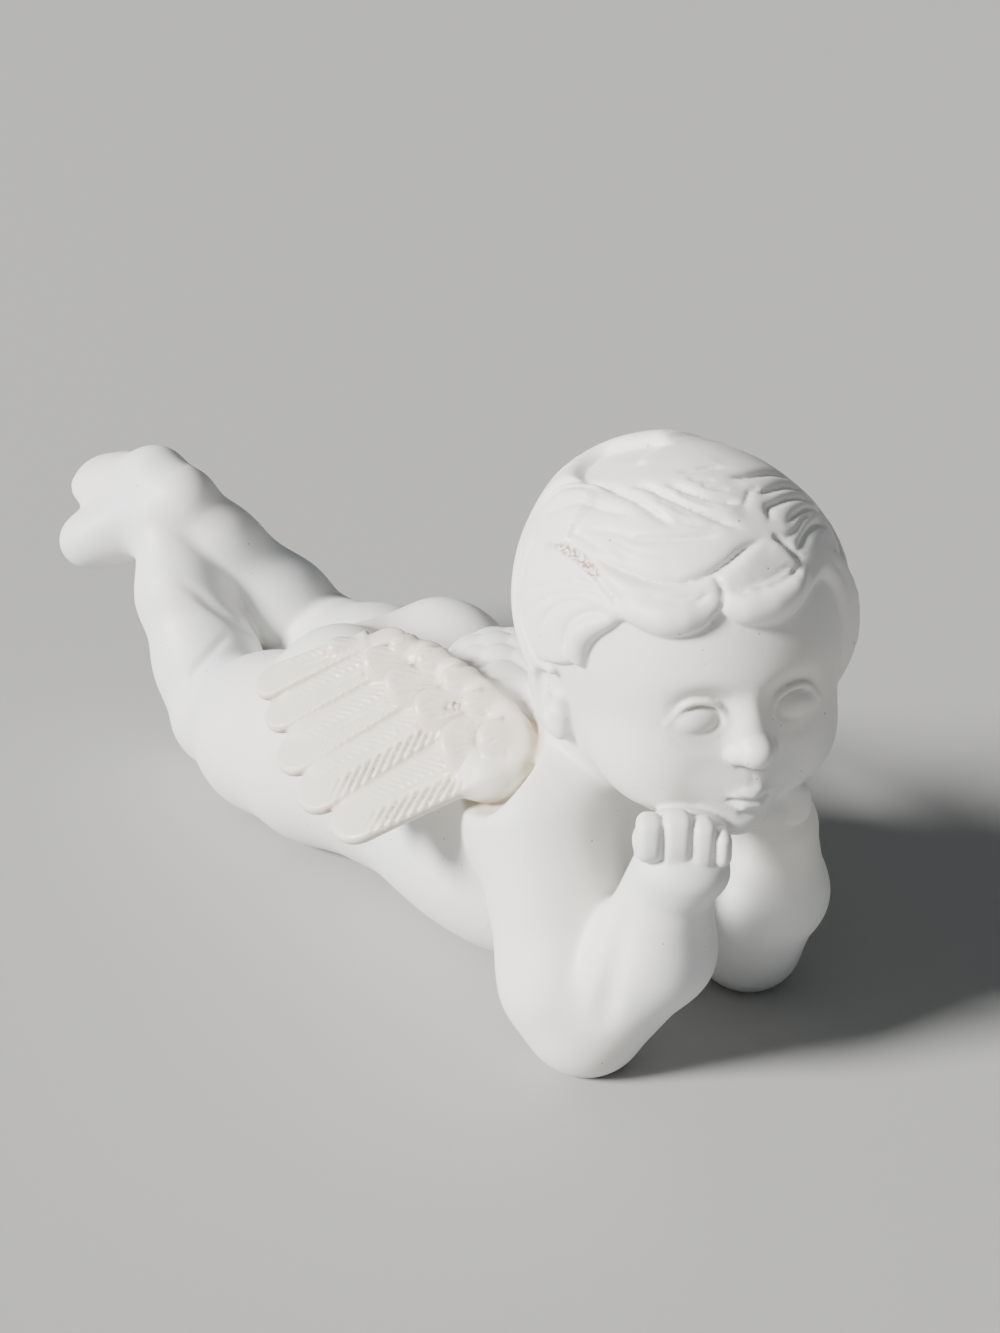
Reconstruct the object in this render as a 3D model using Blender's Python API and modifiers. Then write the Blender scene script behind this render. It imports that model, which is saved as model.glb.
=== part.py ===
"""Cherub figurine: a winged child lying on its belly, chin on its fists, ankles crossed. One casting.

The figure is sculpted on its own grid: +X is its left, +Y runs from its head to its feet, +Z is up,
the ground is at 0 and one grid unit is a fixed share of its length, from the knuckles to the toes.
"""
import math

import bmesh
import bpy
import numpy as np
from mathutils import Matrix, Vector
from mathutils.bvhtree import BVHTree

# Driving dimension, in metres, and the grid that every proportion is written on
FIGURE_LENGTH = 0.318
GRID_LENGTH = 315.0

# Sculpting steps, in grid units
BODY_VOXEL = 1.6
BODY_SMOOTHING = 16
CARVING_VOXEL = 0.9
CARVING_SMOOTHING = 2
# Facets for each region of the figure, and how far the regions reach
TRIANGLES = {"hands": 1500, "head": 3600, "wings": 2000, "body": 2400}
HAND_REACH = 15.0
HEAD_REACH = 48.0
BLADE_REACH = (9.0, 60.0, 37.0)
PAD_DEPTH = 0.9
SLAB_DEPTH = 40.0
MASS_STEPS = 4
CAP_STEPS = 6
BALL_STEPS = 2
SHARP_ANGLE = 65.0

# Surface of the casting
GLAZE_COLOUR = (0.78, 0.78, 0.76, 1.0)
GLAZE_ROUGHNESS = 0.42

# Head: middle, turn to its right, nod and lean in degrees, and its skull
HEAD = Vector((-0.6, 3.8, 97.0))
HEAD_TURN = 22.0
HEAD_NOD = 5.0
HEAD_LEAN = 3.0
SKULL = Vector((0.0, 4.0, 8.0))
SKULL_RADII = Vector((34.8, 39.5, 33.0))

SOCKET_DEPTH = 2.8
SOCKET_RADII = (8.2, 8.0, 5.0)

# Fists: their middles, then from the little finger each finger's place along the row, half width, top and
# foot
FINGERS = [(-7.7, 2.85, 5.4, -4.9), (-2.0, 3.15, 5.9, -6.0), (3.4, 2.65, 4.6, -6.2),
           (7.5, 1.9, 2.4, -5.8)]
RIGHT_FIST = Vector((-27.5, -25.5, 68.5))
LEFT_FIST = Vector((10.2, -18.6, 66.0))
HAND_BACK = (9.3, 6.5, 12.6)
FINGER_PLACE = 1.6
FINGER_DEPTH = 3.3
FINGER_GAP = 0.65
FINGER_BEND = 0.045

# Soft creases of the skin: route, half width and depth. Elbow, wrist, calf on thigh, back of the knee.
SKIN_CREASES = [
    ([(-35.8, -17.2, 52.2), (-37.1, -17.0, 45.2), (-38.7, -17.1, 38.4), (-39.2, -15.5, 27.7),
      (-39.4, -13.8, 19.1)], 2.8, 1.8),
    ([(-36.5, -22.5, 59.0), (-34.0, -28.2, 57.6), (-30.1, -31.6, 57.2), (-23.8, -33.4, 58.6)], 2.0, 0.8),
    ([(-29, 189.5, 29.8), (-25, 189.8, 35.1), (-19.4, 189.7, 39.7), (-10.2, 192.2, 43.6)], 2.2, 1.0),
    ([(-20, 208, 60), (-15.1, 202.9, 54.3), (-10.6, 198.3, 48.9), (-5.8, 194.7, 44.2),
      (7.2, 196.8, 37.6)], 2.2, 1.4),
]

SKIN_FADE = 0.3

# Hair. All its routes are (longitude, latitude) in degrees on the skull: longitude 0 is the face and 90 the
# right ear, latitude 0 the middle of the skull. It ends at the hairline, which runs round this middle.
HAIR_LIFT = 2.2
HAIR_SINK = 5.0
HAIR_EDGE = 1.4
HAIR_MIDDLE = (180, 30)
HAIRLINE = [(60.5, -0.5), (57.5, 4.5), (55, 10), (51, 15), (45, 19.5), (39, 20.5), (33, 19), (28, 17.6),
            (22, 18.2), (16, 20.4), (11, 25), (5, 21.5), (-4, 19.6), (-13, 20), (-22, 22), (-31, 25.5),
            (-40, 26), (-46, 20), (-48, 10), (-48, 0), (-47, -10), (-50, -18), (-60, -18), (-72, -14),
            (-84, -16), (-92, -26), (-104, -36), (-124, -44), (-150, -47), (180, -48), (150, -47),
            (124, -44), (104, -36), (90, -27), (86, -19), (80, -11.5), (72.5, -7), (65.5, -4)]
CREASE_WIDTH = 2.0
CREASE_REACH = 5.0
LOCK_SWELL = 0.8
# Creases between the locks: depth, then the route. Crown and top first, then the right and the left side.
CREASES = [
    (1.7, [(113, 28), (112, 38), (108, 48), (102, 53.5), (94, 57.5), (84, 60.3), (72, 61), (60, 61),
           (50, 59.5), (40, 57), (30, 54), (19, 52.3)]),
    (1.2, [(99, 38), (93, 44.5), (85, 49.5), (75, 52.5), (63, 54.2), (51, 55)]),
    (1.8, [(72, 63), (62, 66), (51, 66.8), (40, 65.3), (30, 63.3), (20, 61), (10, 58), (2, 55),
           (-9, 50.8)]),
    (1.7, [(46, 68.6), (36, 69.6), (25, 68.6), (15, 66.2), (5, 64), (-7, 62), (-18, 60)]),
    (1.1, [(36, 76), (20, 77), (4, 77.5), (-12, 78), (-26, 77), (-40, 74.5)]),
    (2.0, [(64, 38), (56, 36.8), (48, 36), (40, 35), (32, 34.2), (24, 34.8), (18, 36.2), (12, 38.2),
           (5, 41), (-2, 44), (-11, 46), (-20, 47)]),
    (1.3, [(53, 45.5), (45, 47.2), (30, 49), (16, 50.2), (3, 50.3)]),
    (1.4, [(86, 32.5), (80, 34.8), (72, 35.4), (64, 34.6), (58, 32.2), (51, 28.6), (44, 24.5), (38, 21.8)]),
    (1.2, [(10.5, 25.5), (9, 30), (10.2, 35), (13, 38)]),
    (1.8, [(-20, 47), (-25, 42.5), (-27, 38), (-30, 35)]),
    (1.4, [(-27, 38), (-36, 40.4), (-45, 41.4), (-55, 40), (-64, 35)]),
    (1.6, [(-21, 50.4), (-26, 52), (-31, 55), (-40, 54.5), (-52, 52.5), (-64, 48), (-76, 40)]),
    (1.6, [(-22, 70), (-32, 70), (-43, 68), (-56, 65), (-70, 60), (-84, 50)]),
    (1.3, [(-29, 60.5), (-38, 60), (-50, 58), (-64, 54), (-78, 45)]),
    (1.2, [(-30, 47), (-42, 48), (-56, 46), (-70, 40), (-80, 30)]),
    (1.2, [(91, 8), (86.5, 15), (78, 21), (68, 26), (59, 28.6), (51, 28)]),
    (1.8, [(48, 20.6), (55, 19.6), (60.5, 16), (64, 10.5), (64.6, 5), (63, 0.5)]),
    (1.2, [(113, 30), (109, 15), (102, 1), (94, -11), (86, -23)]),
    (1.1, [(97, 33), (97, 22), (94, 13)]),
    (1.4, [(-92, 46), (-84, 33), (-76, 22), (-66, 15), (-58, 14)]),
    (1.4, [(-96, 38), (-92, 22), (-84, 8), (-74, 1), (-64, 2)]),
    (1.4, [(-104, 34), (-102, 12), (-95, -8), (-86, -16)]),
    (1.4, [(-114, 34), (-112, 6), (-106, -16), (-100, -30)]),
]
NAPE_LONGITUDES = (124, 138, 152, 166, 180, 194, 208, 222, 236)
NAPE_LATITUDES = (56, 30, 4, -22, -42)
NAPE_SWAY = 4.0
NAPE_CREASE = 1.5
# Step where the crown's hair ends on the front locks: its rise on one side and drop on the other
TUFT = [(176, 84), (158, 76), (146, 68), (144, 60), (134, 56), (119, 55), (106, 55.5), (95, 57.5),
        (84, 60.3), (72, 61.5)]
TUFT_RISE = 2.0
TUFT_DROP = 1.0
TUFT_REACH = 14.0
# Shares of a route over which a crease and the step fade at its ends
LOCK_FADE = 0.2
TUFT_FADE = 0.12
# Rolled locks at the brow and temples: route, thicknesses along it and how far its middle is off the skull
ROLLS = [
    ([(45, 25.5), (38, 24.2), (30, 23.4), (23, 24.2), (15, 27.2)], [1.5, 3.0, 3.6, 3.2, 1.4], 0.4),
    ([(7, 29.5), (0, 27.2), (-9, 26.6), (-18, 28.2), (-27, 31.8)], [1.8, 3.6, 4.1, 3.8, 2.2], 0.2),
    ([(-48, 34), (-55, 24), (-57.5, 10), (-56, -5), (-52, -18), (-49, -27)],
     [1.2, 2.6, 3.5, 3.7, 3.0, 1.4], 0.0),
    ([(49, 18.6), (55.5, 15.4), (59.6, 10.4), (60.4, 5), (59, 0.5)], [1.0, 2.1, 2.6, 2.2, 1.2], 0.6),
]

# Wing: a point on the blade, the way its feathers run, and the way its upper face looks
WING_POINT = Vector((-27.0, 48.0, 77.0))
WING_OUT = Vector((-0.72, 0.58, -0.375)).normalized()
WING_UP = Vector((-0.561, -0.17, 0.81))
WING_SINK = 1.5
# Places on the blade are (outward, toward the head). Long feathers, hind one first: root, middle of the
# round tip and half widths there.
FEATHERS = [
    ((20, -28.6), (48.6, -26.2), 3.6, 5.2),
    ((14, -20.5), (46.6, -16.2), 5.0, 6.2),
    ((9, -10.0), (44.4, -2.8), 5.9, 7.0),
    ((6, 2.6), (40.2, 9.8), 6.9, 7.7),
    ((1, 18.6), (32.6, 21.4), 8.6, 8.2),
]
FEATHER_HALF = 1.7
FEATHER_TILT = 0.09
FEATHER_DROOP = 0.0012
# Coverts over the feathers' roots: root, tip, half width and height over the blade
COVERTS = [
    ((20.5, -25.8), (33.4, -29.4), 4.0, 0.9),
    ((12, -16.4), (24.6, -19.2), 5.4, 1.3),
    ((7.0, -7.0), (19.2, -8.4), 6.4, 1.7),
    ((2.6, 2.8), (13.6, 3.8), 6.8, 2.0),
    ((-2, 14.6), (8.2, 15.6), 7.6, 2.2),
    ((20, -26.0), (27.5, -28.4), 2.8, 1.7),
    ((12.0, -17.0), (19.0, -20.4), 4.0, 2.2),
    ((7.0, -8.4), (13.2, -10.8), 4.6, 2.6),
    ((2.6, 0.0), (8.2, -1.0), 5.0, 3.0),
    ((-1.8, 8.6), (3.6, 8.2), 5.4, 3.2),
    ((-5.4, 19.6), (0.6, 20.4), 6.6, 3.2),
]
COVERT_HALF = 2.3
COVERT_SLOPE = 0.16
# Small coverts along the inner edge: place and half width
INNER_EDGE = [(22.5, -27.5, 2.6), (15.5, -23.5, 3.2), (9.0, -16.5, 3.6), (4.0, -8.6, 3.8), (0.2, -0.6, 4.0),
              (-3.6, 7.0, 4.2), (-6.6, 14.5, 4.2), (-6.0, 22.5, 4.6)]
# Down on the back at the wing's root
DOWN = [(-5, 58, 75), (-11, 66, 73), (-3, 69, 71.5), (-9, 77, 69), (-1, 79, 68), (-14, 57, 76)]

parts = bpy.data.collections.new("cherub_figurine")
cutters = bpy.data.collections.new("cutters")


def clear_scene():
    for obj in list(bpy.data.objects):
        bpy.data.objects.remove(obj)
    bpy.context.scene.collection.children.link(parts)
    bpy.context.scene.collection.children.link(cutters)


def glazed_white():
    material = bpy.data.materials.new("white_bisque")
    material.use_nodes = True
    shader = material.node_tree.nodes["Principled BSDF"]
    shader.inputs["Base Color"].default_value = GLAZE_COLOUR
    shader.inputs["Roughness"].default_value = GLAZE_ROUGHNESS
    shader.inputs["Metallic"].default_value = 0.0
    return material


def head_frame():
    """Turns the head's own left, back and up into the figure's."""
    turn = Matrix.Rotation(math.radians(-HEAD_TURN), 3, "Z")
    nod = Matrix.Rotation(math.radians(HEAD_NOD), 3, "X")
    lean = Matrix.Rotation(math.radians(-HEAD_LEAN), 3, "Y")
    return turn @ nod @ lean


HEAD_FRAME = head_frame()
WING_UP = (WING_UP - WING_UP.dot(WING_OUT) * WING_OUT).normalized()
WING_FORWARD = WING_UP.cross(WING_OUT)


def on_head(x, y, z):
    return HEAD + HEAD_FRAME @ Vector((x, y, z))


def skull_way(longitude, latitude):
    a, b = math.radians(longitude), math.radians(latitude)
    return Vector((-math.sin(a) * math.cos(b), -math.cos(a) * math.cos(b), math.sin(b)))


def on_skull(longitude, latitude, lift):
    way = skull_way(longitude, latitude)
    return on_head(*(SKULL[i] + way[i] * (SKULL_RADII[i] + lift) for i in range(3)))


def mirrored(point, side):
    """The same point on the figure's right (-1) or its left (1)."""
    return Vector(point) if side < 0 else Vector((-point[0], point[1], point[2]))


def on_wing(out, forward, lift, side):
    point = WING_POINT + out * WING_OUT + forward * WING_FORWARD + (lift - WING_SINK) * WING_UP
    return mirrored(point, side)


def frame_of(left, back, up):
    """Matrix whose columns are a mass's own axes."""
    return Matrix((left, back, up)).transposed()


def smooth_path(points, count):
    """Catmull-Rom curve through the points."""
    spots = [Vector(p) for p in points]
    spots = [2 * spots[0] - spots[1]] + spots + [2 * spots[-1] - spots[-2]]
    spans = len(points) - 1
    path = []
    for step in range(count):
        place = spans * step / (count - 1)
        span = min(int(place), spans - 1)
        t = place - span
        a, b, c, d = spots[span:span + 4]
        path.append(0.5 * (2 * b + (c - a) * t + (2 * a - 5 * b + 4 * c - d) * t ** 2
                           + (3 * b - a - 3 * c + d) * t ** 3))
    return path


def along_path(points, path):
    """For each point the distance to a line through the path, the share of the way, and the stretch."""
    path = np.array(path)
    best = np.full(len(points), np.inf)
    share = np.zeros(len(points))
    stretch = np.zeros(len(points), int)
    for i, (a, b) in enumerate(zip(path, path[1:])):
        axis = b - a
        t = np.clip((points - a) @ axis / (axis @ axis), 0, 1)
        gap = np.linalg.norm(points - a - t[:, None] * axis, axis=1)
        closer = gap < best
        best[closer] = gap[closer]
        share[closer] = (i + t[closer]) / (len(path) - 1)
        stretch[closer] = i
    return best, share, stretch


def fading(share, fade):
    """1 along a path, and down to 0 at its ends."""
    return np.clip(np.minimum(share, 1 - share) / fade, 0, 1)


def furrow(points, path, width):
    """Depth shares of a soft groove along a path."""
    gap, share, _ = along_path(points, path)
    return np.exp(-(gap / width) ** 2) * fading(share, SKIN_FADE)


class Clay:
    """Lumps of clay on a base, pressed together by a voxel remesh."""

    def __init__(self, base=None):
        self.lumps = [] if base is None else [base]

    def keep(self, lump, name):
        mesh = bpy.data.meshes.new(name)
        lump.to_mesh(mesh)
        lump.free()
        self.lumps.append(mesh)

    def mass(self, centre, radii, frame=None):
        """An ellipsoid."""
        turn = Matrix.Identity(4) if frame is None else frame.to_4x4()
        matrix = Matrix.Translation(Vector(centre)) @ turn @ Matrix.Diagonal((*radii, 1.0))
        lump = bmesh.new()
        bmesh.ops.create_icosphere(lump, subdivisions=MASS_STEPS, radius=1.0, matrix=matrix)
        self.keep(lump, "mass")

    def bar(self, centre, half, frame):
        """A block with round edges, bowed along its height."""
        lump = bmesh.new()
        bmesh.ops.create_cube(lump, size=2.0, matrix=Matrix.Diagonal((*half, 1.0)))
        bmesh.ops.bevel(lump, geom=lump.edges[:], offset=0.85 * min(half), segments=5, profile=0.5,
                        affect="EDGES")
        bmesh.ops.subdivide_edges(lump, edges=lump.edges[:], cuts=2, use_grid_fill=True)
        for vert in lump.verts:
            vert.co.y -= FINGER_BEND * vert.co.z ** 2
        bmesh.ops.transform(lump, matrix=Matrix.Translation(centre) @ frame.to_4x4(), verts=lump.verts)
        self.keep(lump, "bar")

    def limb(self, points, radii, flat=None, squash=1.0):
        """A tapered tube with round ends; flat is the way in which its section is squashed."""
        press = Matrix.Identity(3)
        if flat is not None:
            press = Matrix.Scale(squash, 3, flat)
        path = [press.inverted() @ Vector(p) for p in points]
        curve = bpy.data.curves.new("limb", "CURVE")
        curve.dimensions = "3D"
        curve.bevel_depth = 1.0
        curve.bevel_resolution = 5
        curve.use_fill_caps = True
        spline = curve.splines.new("POLY")
        spline.points.add(len(path) - 1)
        for knot, spot, radius in zip(spline.points, path, radii):
            knot.co = (*spot, 1.0)
            knot.radius = radius
        tube = bpy.data.objects.new("limb", curve)
        cutters.objects.link(tube)
        mesh = bpy.data.meshes.new_from_object(tube.evaluated_get(bpy.context.evaluated_depsgraph_get()))
        bpy.data.objects.remove(tube)
        bpy.data.curves.remove(curve)
        lump = bmesh.new()
        lump.from_mesh(mesh)
        bpy.data.meshes.remove(mesh)
        bmesh.ops.remove_doubles(lump, verts=lump.verts, dist=1e-5)
        for spot, radius in zip(path, radii):
            ball = Matrix.Translation(spot) @ Matrix.Diagonal((radius, radius, radius, 1.0))
            bmesh.ops.create_icosphere(lump, subdivisions=BALL_STEPS, radius=1.0, matrix=ball)
        bmesh.ops.transform(lump, matrix=press.to_4x4(), verts=lump.verts)
        self.keep(lump, "limb")

    def pressed(self, name, voxel, smoothing):
        """One closed skin over all the lumps."""
        whole = bmesh.new()
        for lump in self.lumps:
            whole.from_mesh(lump)
            bpy.data.meshes.remove(lump)
        mesh = bpy.data.meshes.new(name)
        whole.to_mesh(mesh)
        whole.free()
        obj = bpy.data.objects.new(name, mesh)
        cutters.objects.link(obj)
        remesh = obj.modifiers.new("skin", "REMESH")
        remesh.mode = "VOXEL"
        remesh.voxel_size = voxel
        smooth = obj.modifiers.new("smooth", "SMOOTH")
        smooth.factor = 0.5
        smooth.iterations = round(smoothing)
        return evaluated(obj)


def evaluated(obj):
    """The object's mesh with its modifiers; the object is removed."""
    mesh = bpy.data.meshes.new_from_object(obj.evaluated_get(bpy.context.evaluated_depsgraph_get()))
    bpy.data.objects.remove(obj)
    return mesh


def tilted(degrees):
    return Matrix.Rotation(math.radians(degrees), 3, "X")


def torso(clay):
    clay.mass((0, 46, 42), (35, 34, 32), tilted(-14))
    spine = smooth_path([(-0.5, 44, 29), (-0.5, 66, 29.5), (0, 92, 31.5), (1, 122, 33.5)], 10)
    clay.limb(spine, [33, 35, 36, 36, 35.5, 35, 34.8, 34.8, 34.5, 34], Vector((0, 0, 1)), 0.9)
    for side in (-1, 1):
        clay.mass((side * 17 + 1, 117, 43.5), (19.5, 27, 25.5))
        clay.mass((side * 25.5, 27, 53), (17.5, 19, 18.5))
    clay.limb([(0, 30, 64), (-1, 14, 76)], [21, 20])


def arms(clay):
    clay.limb([(-27.5, 20.5, 53.5), (-32, 5, 21), (-31, 1, 13)], [17.2, 15.8, 14])
    clay.limb([(26, 22, 53.5), (25, 6, 21), (24, 2, 12.5)], [17.0, 14.8, 13.4])
    clay.limb([(-31, 0, 13.5), (-25, -15, 36), (-26, -20.5, 56)], [14.5, 13.3, 9.8])
    clay.limb([(23.5, 1, 12.5), (17.2, -11, 34), (10.5, -17, 54)], [13.8, 13.1, 9.8])


def legs(clay):
    clay.limb([(-11, 108, 31), (-14, 130, 28), (-17, 156, 24), (-14, 188, 18)], [27.5, 27, 23.2, 18.3])
    clay.limb([(13, 108, 31), (18, 130, 29), (23, 160, 28), (28, 196, 26)], [27.5, 27, 23.6, 19.2])
    clay.limb([(18, 134, 26), (23, 162, 21), (27, 190, 17)], [25, 21, 17.8])
    clay.limb([(-14, 192, 18), (-13, 204, 31), (-12.5, 218, 49), (-10, 230, 68)], [18, 16.2, 14.2, 11.2])
    clay.limb([(28, 200, 25), (19, 209, 41), (4, 219, 63), (-4, 225, 75)], [18.2, 15.6, 11.5, 10.4])


def face_mass(clay):
    clay.mass(on_head(*SKULL), SKULL_RADII, HEAD_FRAME)
    clay.mass(on_head(0, -13.5, 2), (25.8, 23.5, 17), HEAD_FRAME)
    clay.mass(on_head(0, -11, -11), (26.8, 24.2, 22.2), HEAD_FRAME)
    for side in (-1, 1):
        clay.mass(on_head(side * 12.7, -20.0, -13.5), (13.2, 13.8, 12.7), HEAD_FRAME)
    clay.mass(on_head(0, -30.2, -25.5), (7.8, 7.3, 6.2), HEAD_FRAME)
    clay.mass(on_head(0, -31.2, -16.0), (9, 6.7, 7), HEAD_FRAME)


def sink(mesh):
    """Presses the eye sockets and the skin's creases into the smooth body."""
    count = len(mesh.vertices)
    spots = np.empty(count * 3)
    normals = np.empty(count * 3)
    mesh.vertices.foreach_get("co", spots)
    mesh.vertex_normals.foreach_get("vector", normals)
    spots, normals = spots.reshape(-1, 3), normals.reshape(-1, 3)
    depth = np.zeros(count)
    for side in (-1, 1):
        local = (spots - np.array(on_head(side * 10.9, -33, 1.6))) @ np.array(HEAD_FRAME)
        depth += SOCKET_DEPTH * np.exp(-((local / SOCKET_RADII) ** 2).sum(axis=1))
    for route, width, deep in SKIN_CREASES:
        depth += deep * furrow(spots, smooth_path(route, 4 * len(route)), width)
    mesh.vertices.foreach_set("co", (spots - depth[:, None] * normals).ravel())
    mesh.update()


def foot(clay, heel, toe, sole, outer, plump):
    """A foot, its toes in one mass; outer is 1 if the great toe is on the side of sole x length, or -1."""
    heel = Vector(heel)
    length = (Vector(toe) - heel).length
    along = (Vector(toe) - heel).normalized()
    sole = Vector(sole)
    sole = (sole - sole.dot(along) * along).normalized()
    across = sole.cross(along) * outer
    frame = frame_of(across, along, sole)

    def at(x, y, z):
        return heel + x * across + y * along + z * sole

    clay.mass(at(0, 3, -2), (11.2, 11.7, 11.2), frame)
    clay.mass(at(0.5, 0.42 * length, -3.5), (11.8, 0.45 * length, 10.2 * plump), frame)
    clay.mass(at(1.5, 0.74 * length, -3.5), (12.8, 13.7, 8.4 * plump), frame)
    clay.mass(at(4.5, 0.86 * length, -3.2), (7.8, 8.6, 6.6 * plump), frame)


def fist(clay, centre, row, out, back=None):
    """row runs from the little finger to the forefinger, out is the way the fingers face; back holds the
    radii of the smooth mass where the hand's back is in sight."""
    row = Vector(row).normalized()
    out = Vector(out).normalized()
    up = row.cross(out).normalized()
    up = up if up.z > 0 else -up
    frame = frame_of(row, out, up)

    def at(x, y, z):
        return centre + x * row + y * out + z * up

    clay.mass(at(-0.4, -5.4, -2.4), (10.4, 6.0, 7.2), frame)
    clay.mass(at(0.2, -1.6, -8.6), (9.8, 7.8, 6.8), frame)
    if back:
        clay.mass(at(0, -1.5, -1), back, frame)
    for x, half, top, low in FINGERS:
        size = (half - FINGER_GAP, FINGER_DEPTH, (top - low) / 2)
        clay.bar(at(x, FINGER_PLACE, (top + low) / 2), size, frame)


def face(clay, skin):
    """Eyes, nose and lips, laid on the smooth face."""

    def laid(points, lift):
        spots = []
        for point in points:
            spot, normal, _, _ = skin.find_nearest(point)
            spots.append(spot + normal * lift)
        return spots

    for side in (-1, 1):
        clay.mass(laid([on_head(side * 10.9, -36, 0.0)], -2.0)[0], (6.3, 4.1, 4.0), HEAD_FRAME)
        upper = smooth_path([on_head(side * x, y, z) for x, y, z in
                             ((4.4, -34, -0.9), (6.8, -36, 2.2), (10.6, -36, 3.6), (14.4, -36, 2.6),
                              (17.8, -34, -0.6))], 12)
        clay.limb(laid(upper, 0.1), [1.0] * len(upper))
        lower = smooth_path([on_head(side * x, y, z) for x, y, z in
                             ((4.8, -34, -1.2), (7.6, -36, -3.1), (11.0, -35, -3.8), (14.4, -35, -3.0),
                              (17.0, -34, -0.9))], 12)
        clay.limb(laid(lower, 0.0), [0.8] * len(lower))
        clay.mass(on_head(side * 3.6, -37.2, -7.8), (2.3, 2.9, 2.3), HEAD_FRAME)
        clay.limb([on_head(side * 4.8, -35.6, -18.2), on_head(side * 2.8, -37.0, -17.5),
                   on_head(side * 1.3, -37.7, -16.8), on_head(0, -37.8, -17.1)], [0.8, 1.3, 1.4, 1.3])
    clay.limb([on_head(0, -33.5, 2), on_head(0, -36.9, -5)], [2.9, 3.5])
    clay.mass(on_head(0, -39.4, -6.9), (4.0, 3.7, 3.5), HEAD_FRAME)
    clay.mass(on_head(0, -31.6, -15.8), (7.4, 6.2, 5.4), HEAD_FRAME)
    clay.limb([on_head(-4.2, -35.4, -19.8), on_head(-1.6, -36.9, -20.7), on_head(1.6, -36.9, -20.7),
               on_head(4.2, -35.4, -19.8)], [0.8, 1.5, 1.5, 0.8])


def ear(clay, side):
    """A low dome with a rim, its upper part under the hair."""
    clay.mass(on_head(side * 32.0, -2.4, -8.6), (3.0, 5.8, 8.8), HEAD_FRAME)
    rim = smooth_path([on_head(side * x, y, z) for x, y, z in
                       ((33.6, -2.4, 2.0), (34.6, 2.0, -1.6), (34.6, 3.2, -7.0), (33.4, 1.4, -12.2),
                        (31.6, -1.6, -15.4))], 12)
    clay.limb(rim, [1.8] * len(rim))


def edge_angles(ways):
    """Angle off the middle of the hair, and the heading round it."""
    middle = skull_way(*HAIR_MIDDLE)
    first = Vector((0, 0, 1)).cross(middle).normalized()
    second = middle.cross(first)
    off = np.arccos(np.clip(ways @ np.array(middle), -1, 1))
    return off, np.arctan2(ways @ np.array(second), ways @ np.array(first))


def hair_lift(ways):
    """How far the hair stands off the skull on each way out from its middle."""
    knots = [skull_way(*spot) for spot in HAIRLINE]
    closed = smooth_path(knots[-1:] + knots + knots[:2], 12 * len(knots))
    edge_off, edge_heading = edge_angles(np.array([way.normalized() for way in closed]))
    order = np.argsort(edge_heading)
    off, heading = edge_angles(ways)
    inside = np.interp(heading, edge_heading[order], edge_off[order], period=2 * math.pi) - off
    inside = np.clip(0.5 + inside * sum(SKULL_RADII) / 3 / HAIR_EDGE, 0, 1)
    lift = HAIR_LIFT - HAIR_SINK * (1 - inside) ** 2
    shell = np.array(SKULL_RADII) + HAIR_LIFT
    spots = ways * shell
    for depth, route in CREASES + nape_creases():
        gap, share, _ = along_path(spots, [np.array(skull_way(*spot)) * shell for spot in dense(route)])
        lift += fading(share, LOCK_FADE) * depth * (LOCK_SWELL * np.exp(-(gap / CREASE_REACH) ** 2)
                                                    - (1 + LOCK_SWELL) * np.exp(-gap / CREASE_WIDTH))
    crown = np.array([np.array(skull_way(*spot)) * shell for spot in dense(TUFT)])
    gap, share, stretch = along_path(spots, crown)
    across = np.cross(ways, crown[stretch + 1] - crown[stretch])
    step = np.where((across * (spots - crown[stretch])).sum(axis=1) < 0, TUFT_RISE, -TUFT_DROP)
    return lift + fading(share, TUFT_FADE) * step * np.exp(-(gap / TUFT_REACH) ** 2)


def nape_creases():
    """Wavy creases down the back of the head."""
    creases = []
    for turn, longitude in enumerate(NAPE_LONGITUDES):
        sway = NAPE_SWAY * (-1) ** turn
        creases.append((NAPE_CREASE, [(longitude + sway * math.sin(math.pi * step / 2), latitude)
                                      for step, latitude in enumerate(NAPE_LATITUDES)]))
    return creases


def dense(route):
    """A route on the skull with steps between its knots."""
    return [(spot.x, spot.y) for spot in smooth_path([(*knot, 0) for knot in route], 3 * len(route))]


def hair(clay):
    clay.mass(on_head(0, 9, -11), (33.2, 29.2, 23.2), HEAD_FRAME)
    cap = bmesh.new()
    bmesh.ops.create_icosphere(cap, subdivisions=CAP_STEPS, radius=1.0)
    ways = np.array([vert.co for vert in cap.verts])
    for vert, lift in zip(cap.verts, hair_lift(ways)):
        vert.co = on_head(*(SKULL[i] + vert.co[i] * (SKULL_RADII[i] + lift) for i in range(3)))
    clay.keep(cap, "hair")
    for route, radii, lift in ROLLS:
        knots = dense(route)
        places = np.linspace(0, len(radii) - 1, len(knots))
        clay.limb([on_skull(*knot, lift) for knot in knots], np.interp(places, range(len(radii)), radii))


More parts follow.
